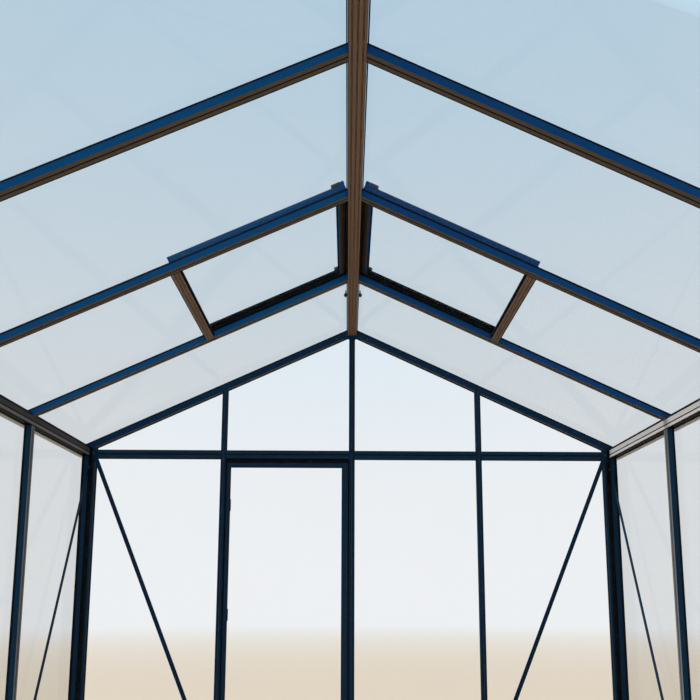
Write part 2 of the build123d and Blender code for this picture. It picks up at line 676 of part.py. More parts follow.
# Door leaf, in its bay of the front gable
jambs = [-POST_X] + MULLIONS + [POST_X]
leaf_low = jambs[BAYS_BEFORE_DOOR] + MULLION_WIDTH / 2 + DOOR_GAP
leaf_high = jambs[BAYS_BEFORE_DOOR + 1] - MULLION_WIDTH / 2 - DOOR_GAP
leaf_bottom = THRESHOLD + DOOR_GAP
leaf_top = TRANSOM_TOP - TRANSOM_HEIGHT - DOOR_GAP
leaf_y = -GABLE_Y - DOOR_SETBACK - DOOR_DEPTH / 2
leaf_height = leaf_top - leaf_bottom

with BuildPart() as threshold:
    low = jambs[BAYS_BEFORE_DOOR] + MULLION_WIDTH / 2
    high = jambs[BAYS_BEFORE_DOOR + 1] - MULLION_WIDTH / 2
    with BuildSketch():
        with Locations(((low + high) / 2, -GABLE_Y - OUT / 2)):
            Rectangle(high - low, OUT)
    extrude(amount=THRESHOLD)
    chamfer(threshold.edges().filter_by(Axis.X).group_by(Axis.Z)[-1], GROOVE)
save(threshold, "door_threshold")

with BuildPart() as stiles:
    with BuildSketch(Plane.XY.offset(leaf_bottom)):
        with Locations((leaf_low + LOCK_STILE / 2, leaf_y)):
            Rectangle(LOCK_STILE, DOOR_DEPTH)
        with Locations((leaf_high - HINGE_STILE / 2, leaf_y)):
            Rectangle(HINGE_STILE, DOOR_DEPTH)
        fillet(vertices(), EDGE_RADIUS)
        with Locations((leaf_low + LOCK_STILE - DOOR_REBATE / 2, leaf_y),
                       (leaf_high - HINGE_STILE + DOOR_REBATE / 2, leaf_y)):
            Rectangle(DOOR_REBATE, CHANNEL, mode=Mode.SUBTRACT)
    extrude(amount=leaf_height)
save(stiles, "door_stiles")

with BuildPart() as rails:
    for low, height, slot in (
        (leaf_bottom, KICK_RAIL, leaf_bottom + KICK_RAIL - DOOR_REBATE),
        (leaf_top - DOOR_RAIL, DOOR_RAIL, leaf_top - DOOR_RAIL),
    ):
        plane = Plane(origin=(leaf_low + LOCK_STILE, 0, 0), x_dir=(0, 1, 0), z_dir=(1, 0, 0))
        with BuildSketch(plane):
            with Locations((leaf_y, low)):
                Rectangle(DOOR_DEPTH, height, align=LOW)
            with Locations((leaf_y, slot)):
                Rectangle(CHANNEL, DOOR_REBATE, align=LOW, mode=Mode.SUBTRACT)
        extrude(amount=leaf_high - HINGE_STILE - leaf_low - LOCK_STILE)
save(rails, "door_rails")

with BuildPart() as door_glass:
    grip = DOOR_REBATE - EDGE_GAP
    low = leaf_low + LOCK_STILE - grip
    high = leaf_high - HINGE_STILE + grip
    with BuildSketch(Plane.XY.offset(leaf_bottom + KICK_RAIL - DOOR_REBATE)):
        with Locations(((low + high) / 2, leaf_y - GLASS_PLAY / 2)):
            Rectangle(high - low, GLASS)
    extrude(amount=leaf_top - DOOR_RAIL + grip - leaf_bottom - KICK_RAIL + DOOR_REBATE)
save(door_glass, "door_glass")

# Hinges: two barrels and a plate on the mullion, one barrel and a plate on the leaf
axis_x = leaf_high + DOOR_GAP / 2
axis_y = -GABLE_Y - OUT - HINGE_OUT
leaf_face = leaf_y - DOOR_DEPTH / 2
mullion_face = -GABLE_Y - OUT
hinge_zs = [
    leaf_bottom + HINGE_INSET + i * (leaf_height - 2 * HINGE_INSET) / (HINGE_COUNT - 1)
    for i in range(HINGE_COUNT)
]
plate_clear = HINGE_RADIUS + HINGE_PLAY + EDGE_RADIUS
hinge_height = 3 * HINGE_BARREL

with BuildPart() as hinges_fixed:
    for z in hinge_zs:
        for row in (-1, 1):
            with BuildSketch(Plane.XY.offset(z + row * HINGE_BARREL)):
                with Locations((axis_x, axis_y)):
                    Circle(HINGE_RADIUS)
                with Locations((axis_x, mullion_face)):
                    Rectangle(plate_clear, HINGE_OUT, align=(Align.MIN, Align.MAX))
            extrude(amount=HINGE_BARREL / 2, both=True)
        with BuildSketch(Plane.XY.offset(z)):
            with Locations((axis_x, axis_y)):
                Circle(HINGE_PIN)
            with Locations((axis_x + plate_clear, mullion_face)):
                Rectangle(HINGE_LEAF, HINGE_PLATE, align=(Align.MIN, Align.MAX))
        extrude(amount=hinge_height / 2, both=True)
save(hinges_fixed, "hinges_fixed")

with BuildPart() as hinges_moving:
    for z in hinge_zs:
        with BuildSketch(Plane.XY.offset(z)):
            with Locations((axis_x, axis_y)):
                Circle(HINGE_RADIUS)
            with Locations((axis_x, leaf_face)):
                Rectangle(plate_clear, leaf_face - axis_y, align=(Align.MAX, Align.MAX))
            with Locations((axis_x, axis_y)):
                Circle(HINGE_PIN + HINGE_PLAY, mode=Mode.SUBTRACT)
        extrude(amount=HINGE_BARREL / 2 - HINGE_PLAY, both=True)
        with BuildSketch(Plane.XY.offset(z)):
            with Locations((axis_x - plate_clear, leaf_face)):
                Rectangle(HINGE_LEAF, HINGE_PLATE, align=(Align.MAX, Align.MAX))
        extrude(amount=hinge_height / 2, both=True)
save(hinges_moving, "hinges_moving")

# Slim bow handle on the outside of the lock stile
with BuildPart() as handle:
    handle_x = leaf_low + LOCK_STILE / 2
    grip = Plane(origin=(handle_x, leaf_face, HANDLE_HEIGHT), x_dir=(0, 0, 1), z_dir=(1, 0, 0))
    with BuildLine(grip) as path:
        FilletPolyline(
            (-HANDLE_LENGTH / 2, 0),
            (-HANDLE_LENGTH / 2, HANDLE_REACH),
            (HANDLE_LENGTH / 2, HANDLE_REACH),
            (HANDLE_LENGTH / 2, 0),
            radius=HANDLE_BEND,
        )
    with BuildSketch(Plane(origin=path.line @ 0, z_dir=path.line % 0)):
        Circle(HANDLE_RADIUS)
    sweep()
save(handle, "door_handle")
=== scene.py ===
"""Finishes, seals, small fittings and studio of the glass greenhouse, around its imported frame.

Metres, +Z up, origin on the ground at the middle of the plan. The gable with the door is at -Y.
"""
import logging
from dataclasses import dataclass, replace
from enum import Enum
from functools import cache
from itertools import product
from math import cos, radians, sin, tan
from typing import Any, Callable, Iterable, Iterator, NamedTuple, Sequence

import bmesh
import bpy
from mathutils import Matrix, Vector


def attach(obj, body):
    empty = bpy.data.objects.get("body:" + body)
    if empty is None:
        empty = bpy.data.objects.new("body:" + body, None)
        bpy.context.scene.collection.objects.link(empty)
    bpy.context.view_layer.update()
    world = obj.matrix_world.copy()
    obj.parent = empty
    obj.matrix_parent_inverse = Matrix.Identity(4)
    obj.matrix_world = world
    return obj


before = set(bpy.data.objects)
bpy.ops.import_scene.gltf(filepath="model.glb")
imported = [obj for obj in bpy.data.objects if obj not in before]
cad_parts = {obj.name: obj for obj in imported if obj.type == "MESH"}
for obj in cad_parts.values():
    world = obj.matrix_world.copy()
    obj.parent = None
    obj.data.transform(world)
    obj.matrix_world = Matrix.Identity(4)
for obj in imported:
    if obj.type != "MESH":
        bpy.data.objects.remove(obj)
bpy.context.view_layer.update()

log = logging.getLogger("greenhouse")
FRAME_BODY = "frame"
DOOR_BODY = "door"
SIDES = (-1, 1)
FINE_SCREW, CAP_SCREW, WIDE_SCREW = 0.0034, 0.0038, 0.0042
X_AXIS, Y_AXIS, Z_AXIS = Vector((1, 0, 0)), Vector((0, 1, 0)), Vector((0, 0, 1))
Triple = tuple[float, float, float]
Colour = Triple
Place = tuple[float, float]


class Slot(Enum):
    """Material slots of the record."""

    FRAME = "anthracite_frame"
    GLASS = "clear_glass"
    FITTINGS = "dark_fittings"
    PLASTIC = "black_plastic"


@dataclass(frozen=True)
class House:
    """Places and sizes that the fittings share with the source of the frame."""

    bay: float = 0.74
    gable_bays: int = 4
    side_bays: int = 6
    slope: float = radians(25)
    eave: float = 1.8895
    wall_offset: float = 0.025
    bar_width: float = 0.037
    bar_depth: float = 0.03
    mullion_width: float = 0.03
    transom_drop: float = 0.0385
    transom_height: float = 0.048
    rake_depth: float = 0.036
    rake_ledge: float = 0.026
    rake_lip: float = 0.016
    post_leg: float = 0.035
    post_side_leg: float = 0.010
    sill_height: float = 0.06
    eave_beam: float = 0.0785
    eave_step: float = 0.020
    eave_ledge_drop: float = 0.0215
    rafter_depth: float = 0.028
    ridge_width: float = 0.052
    ridge_depth: float = 0.045
    ridge_lip: float = 0.002
    cap: float = 0.003
    cap_width: float = 0.022
    glass: float = 0.004
    channel: float = 0.0045
    gutter_width: float = 0.052
    gutter_height: float = 0.036
    gutter_drop: float = 0.008
    gutter_overhang: float = 0.045
    vent_bays: tuple[int, int] = (1, 4)
    vent_bottom: float = 0.706
    trimmer_top: float = 0.672
    trimmer_width: float = 0.045
    trimmer_body: float = 0.035
    trimmer_flange: float = 0.009
    door_bay: int = 2

    # Places that follow from them: inner faces from the middle, heights from the ground.
    gable_y: float = side_bays * bay / 2
    wall_x: float = gable_bays * bay / 2 + wall_offset
    cap_top: float = channel + cap
    out: float = bar_depth + cap_top
    apex: float = eave + wall_x * tan(slope)
    eave_bottom: float = eave - eave_beam
    transom_top: float = eave - transom_drop
    transom_bottom: float = transom_top - transom_height
    gutter_x: float = wall_x + out
    post_x: float = wall_x - post_leg
    post_y: float = gable_y - post_side_leg
    half_clear: float = (bay - bar_width) / 2

    @property
    def mullions(self) -> list[float]:
        """Middles of the gable mullions."""
        return [(i - self.gable_bays / 2) * self.bay for i in range(1, self.gable_bays)]

    @property
    def bars(self) -> list[float]:
        """Middles of the wall bars and rafters."""
        return [(i - self.side_bays / 2) * self.bay for i in range(1, self.side_bays)]

    @property
    def vents(self) -> list[tuple[int, float]]:
        """Slope and middle of each vent."""
        return [(side, self.bay_middle(bay)) for side, bay in product(SIDES, self.vent_bays)]

    def bay_middle(self, bay: int) -> float:
        """Middle of a bay along the ridge, counted from the door gable."""
        return (bay + 0.5 - self.side_bays / 2) * self.bay

    def roof_z(self, x: float, normal: float = 0.0) -> float:
        """Height of the glazing plane at x, or of a plane that far above it."""
        return self.apex - abs(x) * tan(self.slope) + normal / cos(self.slope)

    def up_off(self, side: int) -> Vector:
        """Direction out of one slope."""
        return Vector((side * sin(self.slope), 0, cos(self.slope)))

    def slope_axes(self, side: int) -> Matrix:
        """Turn that lays X down one slope and Z out of it."""
        down = Vector((side * cos(self.slope), 0, -sin(self.slope)))
        return Matrix((down, side * Y_AXIS, self.up_off(side))).transposed().to_4x4()

    def on_roof(self, side: int, x: float, y: float, normal: float = 0.0) -> Vector:
        """Point of one slope, from its x and y on the glazing plane and its height off that plane."""
        return Vector((side * x, y, self.roof_z(x))) + normal * self.up_off(side)

    def roof_line(self, side: int, start: Place, end: Place, normal: float = 0.0) -> tuple[Vector, Vector]:
        """Both ends of a line on one slope, each from its x and y."""
        return self.on_roof(side, *start, normal), self.on_roof(side, *end, normal)


HOUSE = House()


def at(x: float, y: float, z: float) -> Vector:
    """Point in the shared frame."""
    return Vector((x, y, z))


def ring(low: float, high: float, first: float, last: float) -> list[Place]:
    """Corners of a rectangle, in order."""
    return [(low, first), (high, first), (high, last), (low, last)]


def stretches(lines: Sequence[float], last: float, gap: float, end_gap: float = 0.0) -> Iterator[Place]:
    """Clear openings between bars.

    Args:
        lines: Middles of the bars.
        last: Edge of the row at either end.
        gap: Half a bar.
        end_gap: How far the opening starts inside the edge.

    Yields:
        Both ends of each opening.
    """
    starts = [-last + end_gap] + [line + gap for line in lines]
    ends = [line - gap for line in lines] + [last - end_gap]
    yield from zip(starts, ends)


def math_step(operation: str, swapped: bool = False) -> Callable[["Signal", Any], "Signal"]:
    """Make a method of the signals that adds one Math node.

    Args:
        operation: What the node does.
        swapped: Whether the signal comes second.

    Returns:
        The method.
    """
    def step(self: "Signal", other: Any) -> "Signal":
        """Join the signal and the other number."""
        first, second = (other, self) if swapped else (self, other)
        return self.bench.signal(self.bench.node("ShaderNodeMath", {"operation": operation}, {0: first, 1: second}))
    return step


class Signal:
    """A shader socket that takes Python arithmetic, each step as one Math node."""

    def __init__(self, bench: "ShaderBench", socket: bpy.types.NodeSocket) -> None:
        """Wrap a socket of the bench's tree."""
        self.bench = bench
        self.socket = socket

    __add__ = __radd__ = math_step("ADD")
    __sub__ = math_step("SUBTRACT")
    __rsub__ = math_step("SUBTRACT", swapped=True)
    __mul__ = __rmul__ = math_step("MULTIPLY")
    at_most = math_step("MINIMUM")
    at_least = math_step("MAXIMUM")

    def step(self, low: float, high: float) -> "Signal":
        """Add a smooth rise from 0 to 1.

        Args:
            low: Where the rise starts.
            high: Where it ends.

        Returns:
            The rise.
        """
        settings = {"interpolation_type": "SMOOTHSTEP"}
        return self.bench.signal(self.bench.node(
            "ShaderNodeMapRange", settings, {0: self, 1: low, 2: high, 3: 0.0, 4: 1.0}))


class Pattern(NamedTuple):
    """Size of a noise, how fine it gets and how strong the fine part is."""

    scale: float
    detail: float = 2.0
    roughness: float = 0.5


class ShaderBench:
    """The node tree of one material or of the world, with one method that adds nodes."""

    def __init__(self, owner: bpy.types.Material | bpy.types.World) -> None:
        """Clear the owner's tree and keep it.

        Args:
            owner: What the tree belongs to.
        """
        owner.use_nodes = True
        self.tree = owner.node_tree
        self.tree.nodes.clear()

    def node(self, kind: str, settings: dict[str, Any] | None = None,
             inputs: dict[Any, Any] | None = None) -> bpy.types.Node:
        """Add a node.

        Args:
            kind: Blender's type name of the node.
            settings: Properties that are set first.
            inputs: Values, sockets or signals by the input's name or index.

        Returns:
            The new node.
        """
        node = self.tree.nodes.new(kind)
        for key, value in (settings or {}).items():
            setattr(node, key, value)
        for key, value in (inputs or {}).items():
            if isinstance(value, Signal):
                value = value.socket
            if isinstance(value, bpy.types.NodeSocket):
                self.tree.links.new(value, node.inputs[key])
            elif isinstance(value, tuple) and len(value) == 3 and node.inputs[key].type == "RGBA":
                node.inputs[key].default_value = (*value, 1.0)
            else:
                node.inputs[key].default_value = value
        return node

    def signal(self, node: bpy.types.Node, output: str | int = 0) -> Signal:
        """Wrap an output of a node."""
        return Signal(self, node.outputs[output])

    def coordinates(self, kind: str) -> bpy.types.NodeSocket:
        """Output of a Texture Coordinate node."""
        return self.node("ShaderNodeTexCoord").outputs[kind]

    def split(self, vector: Signal | bpy.types.NodeSocket) -> bpy.types.Node:
        """Node that gives the three numbers of a vector."""
        return self.node("ShaderNodeSeparateXYZ", None, {0: vector})

    def vector(self, operation: str, *inputs: Any) -> bpy.types.Node:
        """Vector Math node."""
        return self.node("ShaderNodeVectorMath", {"operation": operation}, dict(enumerate(inputs)))

    def place(self, scale: Triple = (1, 1, 1), turn: Triple = (0, 0, 0)) -> Signal:
        """Object coordinates, turned and scaled."""
        return self.signal(self.node("ShaderNodeMapping", {"vector_type": "POINT"}, {
            "Vector": self.coordinates("Object"), "Rotation": turn, "Scale": scale}))

    def noise(self, vector: Signal, pattern: Pattern) -> Signal:
        """Noise value between 0 and 1."""
        return self.signal(self.node("ShaderNodeTexNoise", None, {
            "Vector": vector, "Scale": pattern.scale, "Detail": pattern.detail, "Roughness": pattern.roughness}))

    def mix(self, factor: Any, first: Any, second: Any) -> Signal:
        """Mixed colour."""
        return self.signal(self.node("ShaderNodeMix", {"data_type": "RGBA"}, {0: factor, 6: first, 7: second}), 2)

    def bump(self, height: Signal, distance: float, strength: float) -> Signal:
        """Normal from a height."""
        return self.signal(self.node("ShaderNodeBump", None, {
            "Height": height, "Distance": distance, "Strength": strength}))

    def surface(self, **inputs: Any) -> bpy.types.Node:
        """Principled shader, with its inputs named with underscores for spaces."""
        return self.node("ShaderNodeBsdfPrincipled", None, {
            key.replace("_", " "): value for key, value in inputs.items()})

    def end(self, shader: bpy.types.Node, kind: str = "ShaderNodeOutputMaterial") -> None:
        """Join the last shader to the output."""
        self.node(kind, None, {"Surface": shader.outputs[0]})


def new_bench(name: str) -> tuple[bpy.types.Material, ShaderBench]:
    """New material with an empty tree."""
    material = bpy.data.materials.new(name)
    return material, ShaderBench(material)


class Look(NamedTuple):
    """A material and the slot of the record that it takes."""

    material: bpy.types.Material
    slot: Slot


DRAWN_OUT = 0.02


class Run(Enum):
    """Direction in which an extrusion was drawn, as a pattern's scale and its turn about Y."""

    UPRIGHT = ((1, 1, DRAWN_OUT), 0.0)
    ALONG_RIDGE = ((1, DRAWN_OUT, 1), 0.0)
    ACROSS_GABLE = ((DRAWN_OUT, 1, 1), 0.0)
    DOWN_LEFT = ((DRAWN_OUT, 1, 1), HOUSE.slope)
    DOWN_RIGHT = ((DRAWN_OUT, 1, 1), -HOUSE.slope)


@dataclass(frozen=True)
class PowderCoat:
    """Semi-matt powder coat on drawn aluminium, with die lines along the bar, a little dust, and painted light on the
    faces that look down and up.
    """

    colour: Colour = (0.005, 0.026, 0.062)
    worn: Colour = (0.007, 0.032, 0.074)
    # Painted light on faces that look down: warm bounce from the floor by default, painted shade where a coat sets it
    # dark.
    painted_underside_light: Colour = (0.102, 0.080, 0.056)
    # Faces that look up: the tops differ from the sides by painted light.
    upper: Colour = (0.006, 0.032, 0.078)
    dust: Colour = (0.15, 0.135, 0.115)
    roughness: float = 0.34
    coat: float = 0.10
    specular: float = 0.0
    die_lines: Pattern = Pattern(420.0, 3.0, 0.6)
    clouds: Pattern = Pattern(1.7, 3.0)
    patches: Pattern = Pattern(9.0, 4.0, 0.65)
    grain: Pattern = Pattern(1400.0, 1.0)
    peel: Pattern = Pattern(330.0)
    relief: float = 0.00012
    prefix: str = "powder_coat"

    def facing(self, bench: ShaderBench, direction: Triple) -> Signal:
        """1 on faces that look one way, from the normal in the object's own axes."""
        along = bench.vector("DOT_PRODUCT", bench.coordinates("Normal"), direction)
        return bench.signal(along, "Value").step(0.4, 0.85)

    def tone(self, bench: ShaderBench, shade: Signal) -> Signal:
        """Painted light by facing: underside light on the faces that look down (warm floor bounce in the default
        coat), and a colour on the tops that sets them apart from the sides.
        """
        painted_top_light = bench.mix(self.facing(bench, (0.0, 0.0, 1.0)), shade, self.upper)
        return bench.mix(self.facing(bench, (0.0, 0.0, -1.0)), painted_top_light, self.painted_underside_light)

    @cache
    def look(self, run: Run) -> Look:
        """Make the finish, once for each direction.

        Args:
            run: Direction in which the bars were drawn.

        Returns:
            The coat and its slot.
        """
        material, bench = new_bench(f"{self.prefix}_{run.name.lower()}")
        scale, turn = run.value
        here = bench.place()
        lines = bench.noise(bench.place(scale, (0, turn, 0)), self.die_lines)
        clouds, patches, grain, peel = (
            bench.noise(here, pattern) for pattern in (self.clouds, self.patches, self.grain, self.peel))
        height = bench.signal(bench.split(here), 2)
        wear = clouds.step(0.35, 0.7) * 0.6 + lines.step(0.4, 0.75) * 0.35
        shade = self.tone(bench, bench.mix(wear, self.colour, self.worn))
        low = 1 - height.step(0.0, 0.28)
        dusty = (patches.step(0.55, 0.8) * 0.04 + low * patches.step(0.3, 0.7) * 0.26).at_most(0.5)
        bench.end(bench.surface(
            Base_Color=bench.mix(dusty, shade, self.dust),
            Roughness=lines * 0.07 + patches * 0.10 + dusty * 0.5 + (self.roughness - 0.085),
            Normal=bench.bump(grain * 0.5 + peel + lines * 0.35, self.relief, 0.5),
            Specular_IOR_Level=self.specular, Coat_Weight=self.coat, Coat_Roughness=0.16))
        return Look(material, Slot.FRAME)


@dataclass(frozen=True)
class InnerFaceCoat(PowderCoat):
    """The same coat on a bar of a side wall or an eave beam, with another colour on the faces that look into the
    house: painted sunlight on one eave beam, painted shade on the other.
    """

    side: int = 1
    colour: Colour = (0.007, 0.040, 0.092)
    worn: Colour = (0.009, 0.046, 0.104)
    painted_underside_light: Colour = (0.008, 0.007, 0.007)
    # Inner-face colours above and below the groove; SUNLIT and SHADED set them to painted sunlight and painted shade.
    inside: Colour = (0.17, 0.178, 0.185)
    under_groove: Colour = (0.17, 0.178, 0.185)
    # Pale undersides beyond the glass: painted bounce light from the floor.
    painted_outer_underside_bounce: Colour = (0.50, 0.52, 0.55)
    groove: float = HOUSE.eave_bottom + 0.0225
    inner_face: float = HOUSE.wall_x + 0.004
    glass_face: float = HOUSE.wall_x + HOUSE.bar_depth + 0.002

    def tone(self, bench: ShaderBench, shade: Signal) -> Signal:
        """Add another colour on the inner faces (painted sunlight on one eave beam, painted shade on the other) and
        painted bounce light on pale undersides beyond the glass.

        Args:
            bench: Tree of the material.
            shade: Colour of the bare coat.

        Returns:
            The colour with the inner faces and the undersides changed.
        """
        split = bench.split(bench.coordinates("Object"))
        width = bench.signal(split, 0) * self.side
        inner = self.facing(bench, (-self.side, 0.0, 0.0)) * (
            1 - width.step(self.inner_face, self.inner_face + 0.002))
        above = bench.signal(split, 2).step(self.groove, self.groove + 0.001)
        # Inner faces above and below the groove: painted sunlight on the SUNLIT beam, painted shade on the SHADED
        # one; the wall bars take a plain grey here.
        dust = bench.mix(above, self.under_groove, self.inside)
        beyond = self.facing(bench, (0.0, 0.0, -1.0)) * width.step(self.glass_face, self.glass_face + 0.002)
        return bench.mix(beyond, bench.mix(inner, super().tone(bench, shade), dust), self.painted_outer_underside_bounce)


class Facing(Enum):
    """Ways that panes face, as the normal of the pane without its signs."""

    WALL = (1.0, 0.0, 0.0)
    GABLE = (0.0, 1.0, 0.0)
    ROOF = (sin(HOUSE.slope), 0.0, cos(HOUSE.slope))


@dataclass(frozen=True)
class FloatGlass:
    """Clear toughened pane: nearly invisible, with a green cut edge and a breath of dust."""

    tint: Colour = (0.05, 0.085, 0.075)
    dust: Colour = (0.13, 0.15, 0.145)
    edge: Colour = (0.035, 0.17, 0.135)
    smears: Pattern = Pattern(2.3, 4.0, 0.62)
    specks: Pattern = Pattern(46.0, 3.0, 0.7)
    veil: float = 0.010
    sheen: float = 0.22

    @cache
    def look(self, facing: Facing) -> Look:
        """Make the glass, once for each way.

        Args:
            facing: Way that the panes face.

        Returns:
            The glass and its slot.
        """
        material, bench = new_bench(f"float_glass_{facing.name.lower()}")
        here = bench.place()
        smears, specks = bench.noise(here, self.smears), bench.noise(here, self.specks)
        unsigned = bench.vector("ABSOLUTE", bench.coordinates("Normal"))
        square = bench.signal(bench.vector("DOT_PRODUCT", unsigned.outputs[0], facing.value), "Value")
        cut = 1 - square.step(0.85, 0.95)
        glancing = bench.signal(bench.node("ShaderNodeFresnel", None, {"IOR": 1.45}))
        haze = smears.step(0.45, 0.8) * 0.006 + specks.step(0.62, 0.8) * 0.003 + self.veil
        clean = bench.mix(smears.step(0.3, 0.7), self.tint, self.dust)
        bench.end(bench.surface(
            Base_Color=bench.mix(cut, clean, self.edge), Roughness=smears * 0.04 + 0.012,
            Alpha=(haze + glancing * self.sheen + cut * 0.7).at_most(0.85), Specular_IOR_Level=1.0))
        return Look(material, Slot.GLASS)


@dataclass(frozen=True)
class Moulding:
    """Black or dark moulded, coated or rubber surface with a fine grain."""

    name: str
    colour: Colour
    roughness: float
    grain: float
    slot: Slot = Slot.PLASTIC
    relief: float = 0.00012
    metallic: float = 0.0
    specular: float = 0.5
    clouds: Pattern = Pattern(23.0, 4.0, 0.6)

    @cache
    def look(self) -> Look:
        """Make the finish once.

        Returns:
            The material and its slot.
        """
        material, bench = new_bench(self.name)
        here = bench.place()
        fine, cloud = bench.noise(here, Pattern(self.grain)), bench.noise(here, self.clouds)
        pale = tuple(min(1.0, 1.8 * value + 0.012) for value in self.colour)
        bench.end(bench.surface(
            Base_Color=bench.mix(cloud.step(0.42, 0.75) * 0.6, self.colour, pale),
            Roughness=cloud * 0.18 + (self.roughness - 0.09),
            Metallic=self.metallic, Specular_IOR_Level=self.specular,
            Normal=bench.bump(fine + cloud * 0.4, self.relief, 0.6)))
        return Look(material, self.slot)


RUBBER = Moulding("seal_rubber", (0.0035, 0.0035, 0.004), 0.7, 600.0, specular=0.08)
PLASTIC = Moulding("moulded_plastic", (0.013, 0.013, 0.015), 0.46, 1100.0)
# Brown strips in grooves: painted shade in the grooves, in the brown of the painted bounce light.
GROOVE_SHADE = Moulding("painted_groove_shade", (0.115, 0.078, 0.056), 0.6, 500.0, specular=0.2)
LINE = Moulding("mullion_line", (0.026, 0.045, 0.070), 0.5, 500.0, specular=0.05)
PILE = Moulding("brush_pile", (0.014, 0.014, 0.014), 0.85, 2600.0, relief=0.0006)
BLACK_COAT = Moulding("black_coat", (0.012, 0.014, 0.016), 0.34, 1300.0, Slot.FITTINGS)
STEEL = Moulding("plated_steel", (0.46, 0.47, 0.48), 0.33, 700.0, Slot.FITTINGS, metallic=1.0)

PLAIN = PowderCoat()
LEVEL = PowderCoat((0.008, 0.036, 0.078), (0.010, 0.042, 0.088), (0.010, 0.012, 0.016))
LEAF = PowderCoat((0.011, 0.034, 0.066), (0.014, 0.040, 0.076), (0.006, 0.006, 0.007), prefix="leaf_coat")
# RAKE and the two slope coats are bluer than the other coats: painted skylight on the sides of these bars; the two
# slopes also differ from each other by painted light.
RAKE = PowderCoat((0.0035, 0.036, 0.100), (0.005, 0.044, 0.120), prefix="rake_coat")
# Brown faces that look down under the ridge: painted warm bounce light from the floor.
RIDGE = PowderCoat(painted_underside_light=(0.185, 0.122, 0.088), prefix="ridge_coat")
LEFT_SLOPE = PowderCoat((0.005, 0.078, 0.272), (0.006, 0.088, 0.306))
RIGHT_SLOPE = PowderCoat((0.005, 0.102, 0.306), (0.006, 0.115, 0.344))
# The vents' faces that look down carry painted warm bounce light.
LEFT_VENT, RIGHT_VENT = (replace(coat, painted_underside_light=(0.045, 0.034, 0.024), prefix="vent_coat")
                         for coat in (LEFT_SLOPE, RIGHT_SLOPE))
# Lit and shaded copies of one coat for the eave beams: painted sunlight on eave_beam_left's inner faces, painted
# shade on eave_beam_right's.
SUNLIT = InnerFaceCoat(side=-1, inside=(0.55, 0.545, 0.55), under_groove=(0.60, 0.60, 0.61), prefix="left_eave")
SHADED = InnerFaceCoat(inside=(0.075, 0.069, 0.069), under_groove=(0.19, 0.18, 0.183), prefix="right_eave")

NODE_COATS: dict[tuple[str, ...], tuple[PowderCoat, Run]] = {
    ("rafters_left",): (LEFT_SLOPE, Run.DOWN_LEFT),
    ("rafters_right",): (RIGHT_SLOPE, Run.DOWN_RIGHT),
    ("vent_frames_left",): (LEFT_VENT, Run.DOWN_LEFT),
    ("vent_frames_right",): (RIGHT_VENT, Run.DOWN_RIGHT),
    ("ridge_beam", "vent_trimmers"): (RIDGE, Run.ALONG_RIDGE),
    ("ridge_cap", "sill_left", "sill_right"): (PLAIN, Run.ALONG_RIDGE),
    ("transoms", "sill", "door_threshold", "apex"): (LEVEL, Run.ACROSS_GABLE),
    ("gable_rafters",): (RAKE, Run.UPRIGHT),
    ("door_stiles",): (LEAF, Run.UPRIGHT),
    ("door_rails",): (LEAF, Run.ACROSS_GABLE),
    ("eave_beam_left",): (SUNLIT, Run.ALONG_RIDGE),
    ("eave_beam_right",): (SHADED, Run.ALONG_RIDGE),
    ("wall_bars_left",): (InnerFaceCoat(side=-1, prefix="left_bar"), Run.UPRIGHT),
    ("wall_bars_right",): (InnerFaceCoat(prefix="right_bar"), Run.UPRIGHT),
}
NODE_MOULDINGS = {("gutter_",): PLASTIC, ("door_handle", "hinges_"): BLACK_COAT}
NODE_FACINGS = {("glass_front", "glass_rear", "door_glass"): Facing.GABLE, ("glass_left", "glass_right"): Facing.WALL}


def by_name(table: dict[tuple[str, ...], Any], name: str, otherwise: Any = None) -> Any:
    """First entry of a table that the start of a node's name fits."""
    return next((entry for starts, entry in table.items() if name.startswith(starts)), otherwise)


def look_of(name: str) -> Look:
    """Choose the finish of a node of the frame.

    Args:
        name: Name of the node.

    Returns:
        Its look.
    """
    if "glass" in name:
        return FloatGlass().look(by_name(NODE_FACINGS, name, Facing.ROOF))
    moulding = by_name(NODE_MOULDINGS, name)
    if moulding:
        return moulding.look()
    coat, run = by_name(NODE_COATS, name, (PLAIN, Run.UPRIGHT))
    return coat.look(run)


def dress(name: str, node: bpy.types.Object) -> None:
    """Give a node of the frame its finish.

    Args:
        name: Name of the node.
        node: Its object.
    """
    material = look_of(name).material
    if not node.material_slots:
        node.data.materials.append(material)
    for slot in node.material_slots:
        slot.material = material


